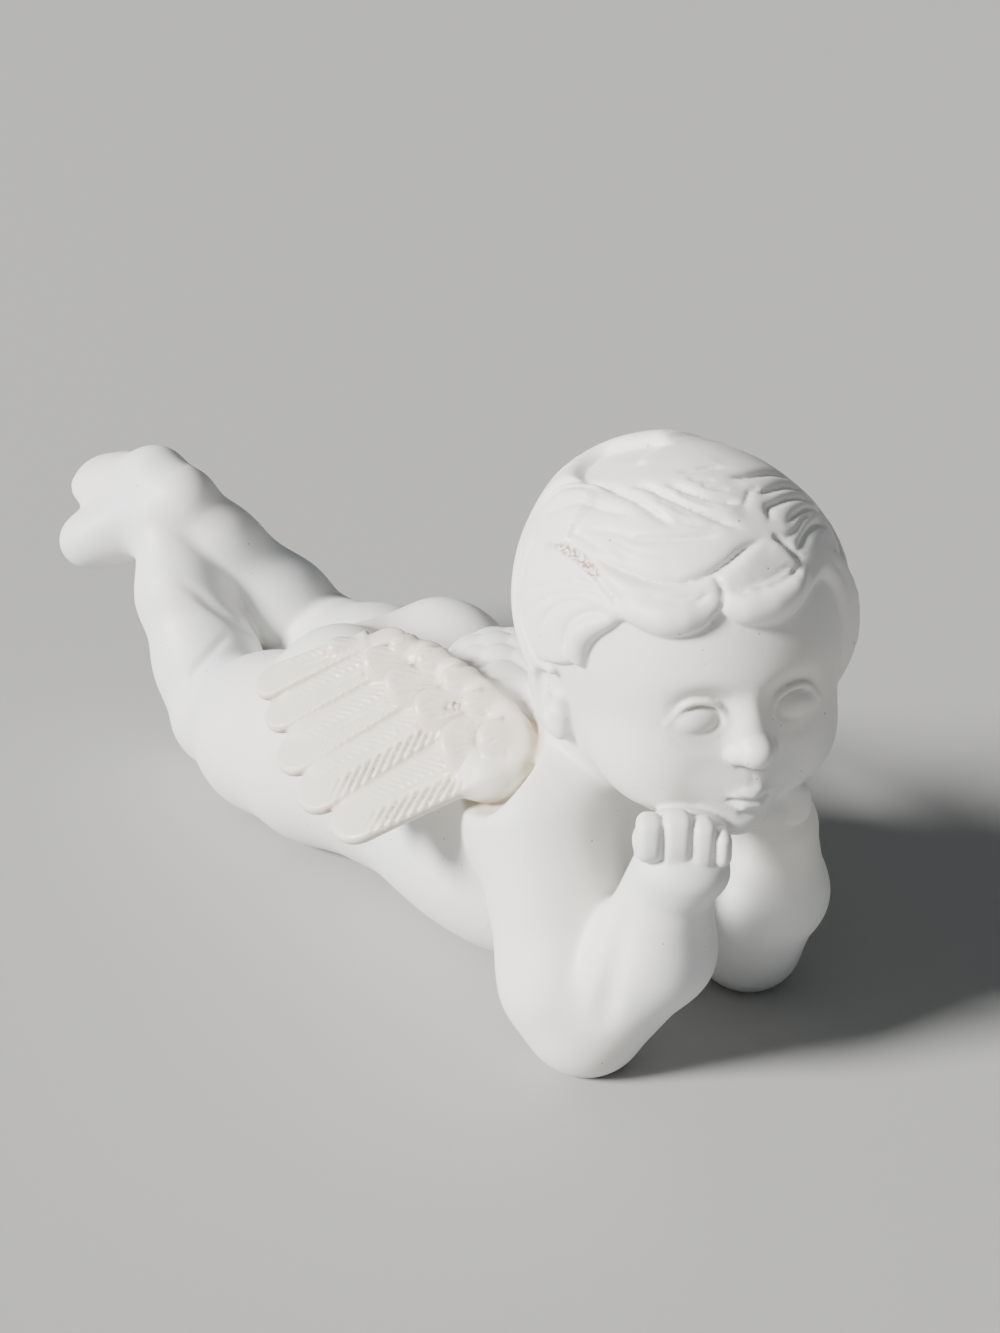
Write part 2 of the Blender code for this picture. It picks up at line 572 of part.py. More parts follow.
def wing(clay, side):
    up = mirrored(WING_UP, side)
    forward = mirrored(WING_FORWARD, side)
    frame = frame_of(mirrored(WING_OUT, side), forward, up)
    clay.limb([mirrored((-8, 56, 64), side), on_wing(3, 3, -5, side)], [12.3, 8.8])
    tilted_up = (up - FEATHER_TILT * forward).normalized()
    for (out_a, forward_a), (out_b, forward_b), half_root, half_tip in FEATHERS:
        knots = []
        for share in (0.0, 0.5, 1.0):
            droop = FEATHER_DROOP * ((out_b - out_a) * share) ** 2
            knots.append(on_wing(out_a + (out_b - out_a) * share,
                                 forward_a + (forward_b - forward_a) * share, -droop, side))
        halves = [half_root, (half_root + half_tip) / 2, half_tip]
        clay.limb(knots, halves, tilted_up, FEATHER_HALF / half_tip)
    for (root_a, tip_a, _, _), (root_b, tip_b, _, _) in zip(FEATHERS, FEATHERS[1:]):
        root = on_wing((root_a[0] + root_b[0]) / 2, (root_a[1] + root_b[1]) / 2, -0.6, side)
        tip = on_wing((tip_a[0] + tip_b[0]) / 2 - 7.5, (tip_a[1] + tip_b[1]) / 2, -1.2, side)
        clay.limb([root, tip], [6.4, 5.6], up, 0.3)
    clay.limb([on_wing(0, 20, -2.4, side), on_wing(5, 6, -2.2, side), on_wing(12, -10, -1.8, side),
               on_wing(22, -25, -1.2, side)], [8.8, 8.2, 6.7, 4.2], up, 0.5)
    clay.mass(on_wing(0.5, 20.5, -1.0, side), (8.8, 9.2, 5.2), frame)
    for root, tip, half, height in COVERTS:
        length = math.dist(root, tip)
        share = 1 - half / length if length > half else 0.1
        end = [root[i] + (tip[i] - root[i]) * share for i in range(2)]
        clay.limb([on_wing(*root, height - COVERT_SLOPE * length, side), on_wing(*end, height, side)],
                  [0.72 * half, half], up, COVERT_HALF / half)
    for out, ahead, half in INNER_EDGE:
        clay.mass(on_wing(out, ahead, 2.0, side), (half, 1.25 * half, 3.0), frame)
    for spot in DOWN:
        clay.mass(mirrored(spot, side), (4.6, 5.4, 3.2))


def skin_of(mesh):
    bm = bmesh.new()
    bm.from_mesh(mesh)
    tree = BVHTree.FromBMesh(bm)
    bm.free()
    return tree


def sculpted():
    body = Clay()
    torso(body)
    arms(body)
    legs(body)
    face_mass(body)
    smooth_body = body.pressed("smooth_body", BODY_VOXEL, BODY_SMOOTHING)
    sink(smooth_body)
    skin = skin_of(smooth_body)
    carving = Clay(smooth_body)
    face(carving, skin)
    for side in (-1, 1):
        ear(carving, side)
        wing(carving, side)
    hair(carving)
    fist(carving, RIGHT_FIST, (0.782, -0.624, 0), (-0.6, -0.75, 0.1))
    fist(carving, LEFT_FIST, (0.6, 0.75, 0), (0.75, -0.65, 0.1), HAND_BACK)
    foot(carving, (-5, 228, 80.5), (-26.5, 265, 60.5), (-0.25, 0.4, 0.85), 1, 1.25)
    foot(carving, (-7, 238, 84), (-17, 274, 78), (-0.2, 0.1, 0.95), -1, 0.95)
    return carving.pressed("carved_body", CARVING_VOXEL, CARVING_SMOOTHING)


def slab_below(height):
    """Cuts off all that lies below the ground, so that belly, elbows and knees get flat pads."""
    mesh = bpy.data.meshes.new("ground_cut")
    bm = bmesh.new()
    span = Matrix.Diagonal((2 * GRID_LENGTH, 3 * GRID_LENGTH, SLAB_DEPTH, 1.0))
    bmesh.ops.create_cube(bm, size=1.0, matrix=Matrix.Translation((0, 0, height - SLAB_DEPTH / 2)) @ span)
    bm.to_mesh(mesh)
    bm.free()
    slab = bpy.data.objects.new("ground_cut", mesh)
    slab.hide_render = True
    slab.display_type = "WIRE"
    cutters.objects.link(slab)
    return slab


def region(spot):
    """The region of the figure that a spot is in."""
    if min((spot - fist).length for fist in (RIGHT_FIST, LEFT_FIST)) < HAND_REACH:
        return "hands"
    if (spot - HEAD).length < HEAD_REACH:
        return "head"
    local = mirrored(spot, -1 if spot.x < 0 else 1) - WING_POINT
    ways = (WING_UP, WING_OUT, WING_FORWARD)
    if all(abs(local.dot(way)) < reach for way, reach in zip(ways, BLADE_REACH)):
        return "wings"
    return "body"


def figure():
    mesh = sculpted()
    obj = bpy.data.objects.new("cherub_figurine", mesh)
    parts.objects.link(obj)
    regions = {name: [] for name in TRIANGLES}
    for vert in mesh.vertices:
        regions[region(vert.co)].append(vert.index)
    facets = 2 * len(mesh.polygons)
    for name, members in regions.items():
        obj.vertex_groups.new(name=name).add(members, 1.0, "REPLACE")
        kept = facets - 2 * len(members) + TRIANGLES[name]
        coarser = obj.modifiers.new(name, "DECIMATE")
        coarser.ratio = kept / facets
        coarser.vertex_group = name
        coarser.use_collapse_triangulate = True
        facets = kept
    cut = obj.modifiers.new("pads", "BOOLEAN")
    cut.operation = "DIFFERENCE"
    cut.solver = "EXACT"
    cut.object = slab_below(PAD_DEPTH)
    mesh = evaluated(obj)
    mesh.name = "cherub_figurine"
    low = Vector(min(v.co[i] for v in mesh.vertices) for i in range(3))
    high = Vector(max(v.co[i] for v in mesh.vertices) for i in range(3))
    stand = Vector(((low.x + high.x) / 2, (low.y + high.y) / 2, low.z))
    mesh.transform(Matrix.Scale(FIGURE_LENGTH / (high.y - low.y), 4) @ Matrix.Translation(-stand))
    mesh.materials.append(glazed_white())
    mesh.shade_smooth()
    mesh.set_sharp_from_angle(angle=math.radians(SHARP_ANGLE))
    obj = bpy.data.objects.new("cherub_figurine", mesh)
    parts.objects.link(obj)


clear_scene()
figure()
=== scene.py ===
"""Cherub figurine: the white casting with its hair, feathers and finish, on a pale floor.

The figure is sculpted in millimetres on its own grid: +X is its left, +Y runs from its head to its
feet, +Z is up and the ground is at 0. It is then fitted into the box of the frame's solid.
"""
import math

import bpy
import numpy as np
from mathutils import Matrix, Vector


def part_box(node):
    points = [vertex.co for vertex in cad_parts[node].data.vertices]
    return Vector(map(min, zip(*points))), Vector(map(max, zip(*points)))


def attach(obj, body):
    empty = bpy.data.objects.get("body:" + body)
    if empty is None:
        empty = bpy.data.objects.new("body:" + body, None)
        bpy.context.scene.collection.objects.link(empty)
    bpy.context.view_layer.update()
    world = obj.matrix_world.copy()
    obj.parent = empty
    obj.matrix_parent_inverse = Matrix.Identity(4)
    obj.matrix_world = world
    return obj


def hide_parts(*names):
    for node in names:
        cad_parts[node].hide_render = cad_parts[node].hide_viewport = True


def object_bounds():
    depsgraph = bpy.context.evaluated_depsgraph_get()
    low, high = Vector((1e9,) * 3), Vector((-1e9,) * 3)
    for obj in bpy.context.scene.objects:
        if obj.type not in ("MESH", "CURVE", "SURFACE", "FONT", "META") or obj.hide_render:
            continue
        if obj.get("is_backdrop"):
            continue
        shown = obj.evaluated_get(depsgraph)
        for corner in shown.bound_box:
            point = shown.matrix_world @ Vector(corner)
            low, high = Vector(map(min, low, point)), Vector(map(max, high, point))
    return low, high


def unit(vector):
    vector = np.asarray(vector, float)
    return vector / np.linalg.norm(vector)


def soft_min(a, b, blend):
    if blend <= 0:
        return np.minimum(a, b)
    overlap = np.clip(blend - np.abs(a - b), 0, None) / blend
    return np.minimum(a, b) - overlap * overlap * blend * 0.25


def turn(axis, degrees):
    """Rotation matrix about an axis."""
    x, y, z = unit(axis)
    angle = np.radians(degrees)
    cross = np.array([[0, -z, y], [z, 0, -x], [-y, x, 0]])
    return np.eye(3) + np.sin(angle) * cross + (1 - np.cos(angle)) * cross @ cross


class Clay:
    """Distances to the figure at points that are kept in cells, groups that lie near each other."""

    FAR = 60.0

    def __init__(self, points, reach):
        self.points = points.astype(np.float32)
        self.middle = self.points.mean(axis=1)
        self.reach = reach
        self.distance = np.full(self.points.shape[:2], self.FAR, np.float32)

    def near(self, shape, margin):
        """Cells near the shape, and its measure at their points."""
        low, high, measure = shape
        margin = margin + self.reach
        inside = (self.middle > low - margin) & (self.middle < high + margin)
        cells = np.nonzero(inside.all(axis=1))[0]
        return cells, measure(self.points[cells])

    def add(self, shape, blend=1.0):
        cells, gap = self.near(shape, blend)
        self.distance[cells] = soft_min(self.distance[cells], gap, blend)

    def carve(self, shape, blend=1.0):
        cells, gap = self.near(shape, blend)
        self.distance[cells] = -soft_min(-self.distance[cells], gap, blend)

    def relief(self, shape, margin=1.0):
        """Sinks the surface by what the shape's measure gives, or raises it where that is negative."""
        cells, depth = self.near(shape, margin)
        self.distance[cells] += depth


def around(spots, reach, measure):
    """A shape: the corners of the box that reaches past the spots, and its measure at points."""
    spots = np.atleast_2d(spots)
    return spots.min(axis=0) - reach, spots.max(axis=0) + reach, measure


def in_frame(points, centre, axes):
    """Points as seen from the centre along the rows of axes."""
    return (points - centre.astype(np.float32)) @ axes.T.astype(np.float32)


def ellipsoid(centre, radii, axes=None):
    """The rows of axes are the ellipsoid's own axes."""
    centre = np.asarray(centre, float)
    radii = np.asarray(radii, float)
    axes = np.eye(3) if axes is None else np.asarray(axes, float)
    half = np.sqrt(((axes * radii[:, None]) ** 2).sum(axis=0))

    def measure(points):
        local = in_frame(points, centre, axes)
        near = np.linalg.norm(local / radii.astype(np.float32), axis=-1)
        slope = np.linalg.norm(local / (radii * radii).astype(np.float32), axis=-1) + 1e-9
        return near * (near - 1) / slope

    return around(centre, half, measure)


def round_cone(points, a, b, radius_a, radius_b):
    """Distance to the hull of two balls."""
    a, b = a.astype(np.float32), b.astype(np.float32)
    axis = b - a
    length2 = float(axis @ axis)
    slope = radius_a - radius_b
    side2 = max(length2 - slope * slope, 1e-6)
    local = points - a
    y = local @ axis
    z = y - length2
    across = local * length2 - y[..., None] * axis
    x2 = (across * across).sum(axis=-1)
    y2, z2 = y * y * length2, z * z * length2
    edge = np.sign(slope) * slope * slope * x2
    out = (np.sqrt(x2 * side2 / length2) + y * slope) / length2 - radius_a
    out = np.where(np.sign(y) * side2 * y2 < edge, np.sqrt(x2 + y2) / length2 - radius_a, out)
    return np.where(np.sign(z) * side2 * z2 > edge, np.sqrt(x2 + z2) / length2 - radius_b, out)


def limb(path, radii, flat=None, squash=1.0, soft=0.0):
    """A tapered tube through joints; flat is the way in which its section is squashed."""
    path = np.asarray(path, float)
    radii = np.broadcast_to(np.asarray(radii, float), len(path))
    low = (path - radii[:, None]).min(axis=0)
    high = (path + radii[:, None]).max(axis=0)
    stretch = np.eye(3)
    if flat is not None:
        stretch = np.eye(3) + (1 / squash - 1) * np.outer(unit(flat), unit(flat))
    joints = path @ stretch.T

    def measure(points):
        points = points @ stretch.T.astype(np.float32) if flat is not None else points
        best = None
        for a, b, radius_a, radius_b in zip(joints, joints[1:], radii, radii[1:]):
            gap = round_cone(points, a, b, radius_a, radius_b)
            best = gap if best is None else soft_min(best, gap, soft)
        return best * squash if flat is not None else best

    return low, high, measure


def along_path(points, path, normals=None):
    """Distance to a polyline, the share of its length at the nearest spot, and the side, + or -."""
    path = np.asarray(path, np.float32)
    lengths = np.linalg.norm(np.diff(path, axis=0), axis=1)
    start = np.concatenate([[0], np.cumsum(lengths)])
    best = np.full(points.shape[:-1], 1e9, np.float32)
    share = np.zeros(points.shape[:-1], np.float32)
    side = np.zeros(points.shape[:-1], np.float32)
    for i, length in enumerate(lengths):
        axis = path[i + 1] - path[i]
        local = points - path[i]
        t = np.clip(local @ axis / float(axis @ axis), 0, 1)
        off = local - t[..., None] * axis
        gap = np.sqrt((off * off).sum(axis=-1))
        closer = gap < best
        best = np.where(closer, gap, best)
        share = np.where(closer, (start[i] + t * length) / start[-1], share)
        if normals is not None:
            across = np.cross(normals[i], axis).astype(np.float32)
            side = np.where(closer, np.sign(off @ across), side)
    return best, share, side


def smooth_path(points, count):
    """Catmull-Rom curve through the points."""
    points = np.asarray(points, float)
    knots = np.vstack([2 * points[0] - points[1], points, 2 * points[-1] - points[-2]])
    spans = len(points) - 1
    path = []
    for place in np.linspace(0, spans, count):
        span = min(int(place), spans - 1)
        t = place - span
        a, b, c, d = knots[span:span + 4]
        path.append(0.5 * (2 * b + (c - a) * t + (2 * a - 5 * b + 4 * c - d) * t ** 2
                           + (3 * b - a - 3 * c + d) * t ** 3))
    return np.array(path)


# Half of a cell's diagonal in cells, the split of a cell's side, millimetres by which the measures of the
# coarse and the middle grid may be off, the farthest pull of a point onto the figure and how often it is
# pulled, and the cells round an edge
HALF_DIAGONAL = 0.87
SPLIT = 3
COARSE_SLACK = 2.5
MIDDLE_SLACK = 0.7
PULL_LIMIT = 0.35
PULL_ROUNDS = 2
RING = ((0, 0), (-1, 0), (-1, -1), (0, -1))


def refined(sculpt, grid, low, size, slack):
    """The distance grid with each cell split, read anew near the surface and only its sign elsewhere."""
    near = np.abs(grid) < size * HALF_DIAGONAL + slack
    cells = np.stack(np.nonzero(near), axis=-1)
    middles = low + (cells[:, None, :] + 0.5) * size
    k = np.arange(SPLIT)
    offsets = np.stack(np.meshgrid(k, k, k, indexing="ij"), axis=-1).reshape(1, -1, 3)
    small = (offsets + 0.5) * size / SPLIT - size / 2
    clay = Clay(middles + small, size * HALF_DIAGONAL)
    sculpt(clay)
    fine = np.where(grid > 0, np.float32(size), np.float32(-size))
    for axis in range(3):
        fine = np.repeat(fine, SPLIT, axis=axis)
    index = cells[:, None, :] * SPLIT + offsets
    fine[index[..., 0], index[..., 1], index[..., 2]] = clay.distance
    return fine


def skin(sculpt, low, high, step):
    """Points and quads of the surface: a coarse grid, split twice, then pulled onto the figure."""
    low = np.asarray(low, float)
    size = step * SPLIT ** 2
    shape = np.ceil((np.asarray(high) - low) / size).astype(int)
    places = [low[i] + (np.arange(shape[i]) + 0.5) * size for i in range(3)]
    middles = np.stack(np.meshgrid(*places, indexing="ij"), axis=-1)
    clay = Clay(middles.reshape(-1, 1, 3), 0.0)
    sculpt(clay)
    grid = clay.distance.reshape(shape)
    grid = refined(sculpt, grid, low, size, COARSE_SLACK)
    grid = refined(sculpt, grid, low, size / SPLIT, MIDDLE_SLACK)
    points, quads = surface_net(grid)
    points = low + (points + 0.5) * step
    for _ in range(PULL_ROUNDS):
        points = pulled(sculpt, points, quads)
    return points, quads


def surface_net(grid):
    """One point in each cell that the surface crosses, one quad on each crossed edge."""
    inside = grid < 0
    cells = tuple(np.array(grid.shape) - 1)
    flat_at, flat_spot, outward = [], [], []
    for axis in range(3):
        here, there = [slice(None)] * 3, [slice(None)] * 3
        here[axis], there[axis] = slice(0, -1), slice(1, None)
        here, there = tuple(here), tuple(there)
        crossed = inside[here] != inside[there]
        at = np.stack(np.nonzero(crossed), axis=-1)
        a, b = grid[here][crossed], grid[there][crossed]
        spot = at.astype(np.float32)
        spot[:, axis] += a / (a - b)
        for step_a, step_b in RING:
            cell = at.copy()
            cell[:, (axis + 1) % 3] += step_a
            cell[:, (axis + 2) % 3] += step_b
            flat_at.append(np.ravel_multi_index(cell.T, cells, mode="clip"))
            flat_spot.append(spot)
        outward.append(a < 0)
    used, index = np.unique(np.concatenate(flat_at), return_inverse=True)
    flat_spot = np.concatenate(flat_spot)
    count = np.bincount(index)
    points = np.stack([np.bincount(index, flat_spot[:, i]) / count for i in range(3)], axis=-1)
    quads = []
    for axis in range(3):
        corners = flat_at[axis * len(RING):(axis + 1) * len(RING)]
        ring = np.stack([np.searchsorted(used, corner) for corner in corners], axis=-1)
        ring[~outward[axis]] = ring[~outward[axis]][:, ::-1]
        quads.append(ring)
    return points, np.concatenate(quads)


def value(sculpt, points):
    """Distance to what the sculpt makes, at each point."""
    clay = Clay(points[:, None, :], 0.0)
    sculpt(clay)
    return clay.distance[:, 0]


def slopes(sculpt, points, reach):
    """The way in which that distance grows, at each point."""
    slope = np.stack([value(sculpt, points + step) - value(sculpt, points - step)
                      for step in np.eye(3) * reach], axis=-1)
    return slope / np.maximum(np.linalg.norm(slope, axis=1), 1e-6)[:, None]


def point_normals(points, quads):
    diagonal_a = points[quads[:, 2]] - points[quads[:, 0]]
    diagonal_b = points[quads[:, 3]] - points[quads[:, 1]]
    faces = np.cross(diagonal_a, diagonal_b)
    normals = spread(faces, quads, len(points))
    return normals / np.maximum(np.linalg.norm(normals, axis=1), 1e-9)[:, None]


def spread(values, quads, count):
    """Sum of the quads' values at each of their points."""
    at = quads.ravel()
    return np.stack([np.bincount(at, np.repeat(values[:, i], 4), count) for i in range(3)], axis=-1)


def pulled(sculpt, points, quads):
    """Evens the points out along the surface and moves them onto it."""
    normals = point_normals(points, quads)
    share = np.maximum(np.bincount(quads.ravel(), minlength=len(points)), 1)[:, None]
    shift = spread(points[quads].mean(axis=1), quads, len(points)) / share - points
    shift -= (shift * normals).sum(axis=1)[:, None] * normals
    points = points + 0.5 * shift
    gap = np.clip(value(sculpt, points), -PULL_LIMIT, PULL_LIMIT)
    return points - normals * gap[:, None]


# Head: middle, turn to its right, nod and lean in degrees, and its skull; then the depth of the ground pads
HEAD = np.array([-0.6, 3.8, 97.0])
HEAD_TURN, HEAD_NOD, HEAD_LEAN = 22.0, 5.0, 3.0
HEAD_AXES = (turn((0, 0, 1), -HEAD_TURN) @ turn((1, 0, 0), HEAD_NOD)
             @ turn((0, 1, 0), -HEAD_LEAN)).T
SKULL = np.array([0, 4, 8.0])
SKULL_RADII = np.array([34.8, 39.5, 33.0])
PAD_DEPTH = 0.9


def on_head(x, y, z):
    """Head's left, back and up, into the figure's."""
    return HEAD + np.array([x, y, z]) @ HEAD_AXES


def head_path(*spots, side=1):
    """Spots in the head's frame, mirrored where side is -1."""
    return [on_head(side * x, y, z) for x, y, z in spots]


def bulge(clay, spot, radii, blend):
    """A rounded mass at a spot in the head's frame."""
    clay.add(ellipsoid(on_head(*spot), radii, HEAD_AXES), blend)


def skull_ways(points):
    """Longitude 0 is the face and 90 the right ear, latitude 0 the middle of the skull."""
    lon, lat = np.radians(np.asarray(points, float)).T
    return np.stack([-np.sin(lon) * np.cos(lat), -np.cos(lon) * np.cos(lat), np.sin(lat)], axis=-1)


def on_skull(points, lift):
    """Longitudes and latitudes to points off the skull."""
    ways = skull_ways(points)
    lift = np.broadcast_to(np.asarray(lift, float), len(ways))[:, None]
    local = SKULL + ways * (SKULL_RADII + lift)
    return HEAD + local @ HEAD_AXES


def torso(clay):
    """Chest, belly, buttocks, neck and shoulders."""
    clay.add(ellipsoid((0, 46, 42), (35, 34, 32), turn((1, 0, 0), -14).T), 10)
    spine = smooth_path([(-0.5, 44, 29), (-0.5, 66, 29.5), (0, 92, 31.5), (1, 122, 33.5)], 7)
    clay.add(limb(spine, [33, 35.5, 36, 35.4, 35, 34.8, 34], (0, 0, 1), 0.9, 4), 12)
    for side in (-1, 1):
        clay.add(ellipsoid((side * 17 + 1, 117, 43.5), (19.5, 27, 25.5)), 5)
    clay.add(limb([(0, 30, 64), (-1, 14, 76)], [20, 19]), 12)
    for side in (-1, 1):
        clay.add(ellipsoid((side * 25, 26, 53), (16.5, 18, 17.5)), 12)


# Soft creases of the skin: route, its points, width, depth and fading share of each end
ARM_CREASES = [
    ([(-35.8, -17.2, 52.2), (-37.1, -17.0, 45.2), (-38.7, -17.1, 38.4), (-39.2, -15.5, 27.7),
      (-39.4, -13.8, 19.1)], 14, 2.6, 1.6, 0.3),
    ([(-36.5, -22.5, 59.0), (-34.0, -28.2, 57.6), (-30.1, -31.6, 57.2), (-23.8, -33.4, 58.6)],
     12, 1.6, 0.7, 0.25),
]
LEG_CREASES = [
    ([(-29, 189.5, 29.8), (-25, 189.8, 35.1), (-19.4, 189.7, 39.7), (-10.2, 192.2, 43.6)],
     14, 1.6, 0.8, 0.3),
    ([(-20, 208, 60), (-18.5, 206.4, 57.4), (-15.1, 202.9, 54.3), (-10.6, 198.3, 48.9),
      (-5.8, 194.7, 44.2), (0, 194.8, 41), (7.2, 196.8, 37.6)], 14, 1.8, 1.2, 0.3),
]


def creases(clay, routes):
    for route, count, width, depth, taper in routes:
        clay.relief(groove(smooth_path(route, count), width, depth, taper))


# Limbs: joints, radii there, softness between joints, and blend with the body
ARMS = [
    ([(-27.5, 20.5, 53.5), (-32, 5, 21), (-31, 1, 13)], [16.6, 15.5, 14], 6, 6),
    ([(26, 22, 53.5), (25, 6, 21), (24, 2, 12.5)], [16.4, 14.5, 13.2], 6, 6),
    ([(-31, 0, 13.5), (-25, -15, 36), (-26, -20.5, 56)], [14.2, 13, 9.4], 4, 2.5),
    ([(23.5, 1, 12.5), (17.2, -11, 34), (10.5, -17, 54)], [13.4, 12.8, 9.4], 4, 2.5),
]
LEGS = [
    ([(-11, 108, 31), (-14, 130, 28), (-17, 156, 24), (-14, 188, 18)], [27, 27, 23, 18], 8, 8),
    ([(13, 108, 31), (18, 130, 29), (23, 160, 28), (28, 196, 26)], [27, 27, 23.5, 19], 8, 8),
    ([(18, 134, 26), (23, 162, 21), (27, 190, 17)], [25, 21, 17.5], 8, 8),
    ([(-14, 192, 18), (-13, 204, 31), (-12.5, 218, 49), (-10, 230, 68)], [17.6, 16, 14, 10.8], 6, 3),
    ([(28, 200, 25), (19, 209, 41), (4, 219, 63), (-4, 225, 75)], [18, 15.4, 11.2, 10], 6, 3),
]


def limbs(clay, pairs):
    for joints, radii, soft, blend in pairs:
        clay.add(limb(joints, radii, soft=soft), blend)


# Gaps between the toes: place across the foot, and share of its length
TOE_GAPS = [(3.6, 0.98), (-0.4, 0.97), (-4.0, 0.93), (-7.4, 0.87)]
TOE_GAP_WIDTH = 0.8
TOE_GAP_DEPTH = 1.2


def foot(clay, heel, toe, sole, outer, plump):
    """A mitten with toe gaps; outer is 1 where the great toe lies on the side of sole x length, or -1."""
    heel = np.array(heel, float)
    length = np.linalg.norm(np.array(toe, float) - heel)
    along = unit(np.array(toe, float) - heel)
    sole = np.array(sole, float)
    sole = unit(sole - (sole @ along) * along)
    across = np.cross(sole, along) * outer
    axes = np.array([across, along, sole])

    def at(x, y, z):
        return heel + np.array([x, y, z]) @ axes

    def mass(clay):
        clay.add(ellipsoid(at(0, 3, -2), (11, 11.5, 11), axes), 5)
        clay.add(ellipsoid(at(0.5, 0.42 * length, -3.5), (11.6, 0.44 * length, 10.0 * plump), axes), 6)
        clay.add(ellipsoid(at(1.5, 0.74 * length, -3.5), (12.6, 13.5, 8.2 * plump), axes), 6)
        clay.add(ellipsoid(at(4.5, 0.86 * length, -3.2), (7.6, 8.4, 6.4 * plump), axes), 4)

    mass(clay)
    for x, reach in TOE_GAPS:
        spots = ((reach - 0.2, -11), (reach - 0.03, -10), (reach + 0.1, -4), (reach + 0.02, 3))
        path = smooth_path([at(x, share * length, z) for share, z in spots], 10)
        path = laid_once((tuple(heel), x), path, 0, mass)
        clay.relief(groove(path, TOE_GAP_WIDTH, TOE_GAP_DEPTH, 0.3))


# Fingers of a fist, little finger first: place along the row, half width, top and foot
FINGERS = [
    (-7.7, 2.85, 5.4, -4.9), (-2.0, 3.15, 5.9, -6.0), (3.4, 2.65, 4.6, -6.2), (7.5, 1.9, 2.4, -5.8),
]
FINGER_PLACE = 1.6
FINGER_DEPTH = 3.3
FINGER_CORNER = 2.3
FINGER_BEND = 0.045


def fist(clay, centre, row, out, back):
    """A fist whose row of fingers runs from the little finger on and faces out, with its back behind it."""
    row, out = unit(row), unit(out)
    up = unit(np.cross(row, out))
    up = up if up[2] > 0 else -up
    axes = np.array([row, out, up])
    centre = np.array(centre, float)

    def at(x, y, z):
        return centre + np.array([x, y, z]) @ axes

    clay.add(ellipsoid(at(-0.4, -4.6, -2.4), (10.4, 6.4, 7.0), axes), 2)
    if back:
        clay.add(ellipsoid(at(0, -back, -1.0), (9.2, 6.4, 12.5), axes), 4)
    clay.add(ellipsoid(at(0.2, -1.6, -8.6), (9.6, 7.6, 6.6), axes), 4)
    for x, half, top, low in FINGERS:
        size = (half, FINGER_DEPTH, (top - low) / 2)
        clay.add(bar(at(x, FINGER_PLACE, (top + low) / 2), size, axes), 0.5)


def bar(centre, half, axes):
    """A block with round corners, bowed outward along its height."""
    half = np.asarray(half, float)
    reach = np.abs(axes.T) @ half + 1.0

    def measure(points):
        local = in_frame(points, centre, axes)
        local[..., 1] += FINGER_BEND * local[..., 2] ** 2
        gap = np.abs(local) - (half - FINGER_CORNER).astype(np.float32)
        outside = np.linalg.norm(np.clip(gap, 0, None), axis=-1)
        return outside + np.clip(gap.max(axis=-1), None, 0) - FINGER_CORNER

    return around(centre, reach, measure)


def face_mass(clay):
    """Skull, brow, jaw, cheeks, chin, mouth and eye sockets."""
    bulge(clay, SKULL, SKULL_RADII, 6)
    bulge(clay, (0, -13.5, 2), (25.8, 23.5, 17), 8)
    bulge(clay, (0, -11, -11), (26.6, 24.0, 22), 8)
    for side in (-1, 1):
        bulge(clay, (side * 12.7, -20.0, -13.5), (13.0, 13.6, 12.5), 7)
    bulge(clay, (0, -30.0, -25.5), (7.5, 7, 6), 5)
    bulge(clay, (0, -31.0, -16.0), (9, 6.5, 7), 6)
    for side in (-1, 1):
        clay.carve(ellipsoid(on_head(side * 11.2, -39.6, 0.8), (8.4, 5.4, 5.2), HEAD_AXES), 5)


def laid(points, lift, base):
    """Guide points moved onto a base, or to a lift over it."""
    points = np.array(points, float)
    for _ in range(3):
        slope = slopes(base, points, 0.3)
        points = points - slope * (value(base, points) - lift)[:, None]
    return points


LAID = {}


def laid_once(name, points, lift=0.0, base=face_mass):
    """The same points are laid once, however often the sculpt is built."""
    if name not in LAID:
        LAID[name] = laid(points, lift, base)
    return LAID[name]


def groove(path, width, depth, taper=0.2):
    """A rounded furrow along a path, fading at its ends; a negative depth makes a ridge."""
    path = np.asarray(path, float)

    def measure(points):
        gap, share, _ = along_path(points, path)
        fade = np.clip(np.minimum(share, 1 - share) / taper, 0, 1)
        return depth * np.exp(-(gap / width) ** 2) * fade

    return around(path, 2 * width, measure)


def dent(centre, radii, depth):
    """A soft hollow."""
    reach = 2.2 * max(radii)

    def measure(points):
        local = in_frame(points, centre, HEAD_AXES)
        return depth * np.exp(-((local / np.array(radii, np.float32)) ** 2).sum(axis=-1))

    return around(centre, reach, measure)


def over(side, spots, name, count, lift=0.0):
    """A smooth path through spots on the face, laid on it."""
    path = smooth_path(head_path(*spots, side=side), count)
    return laid_once((name, side), path, lift)


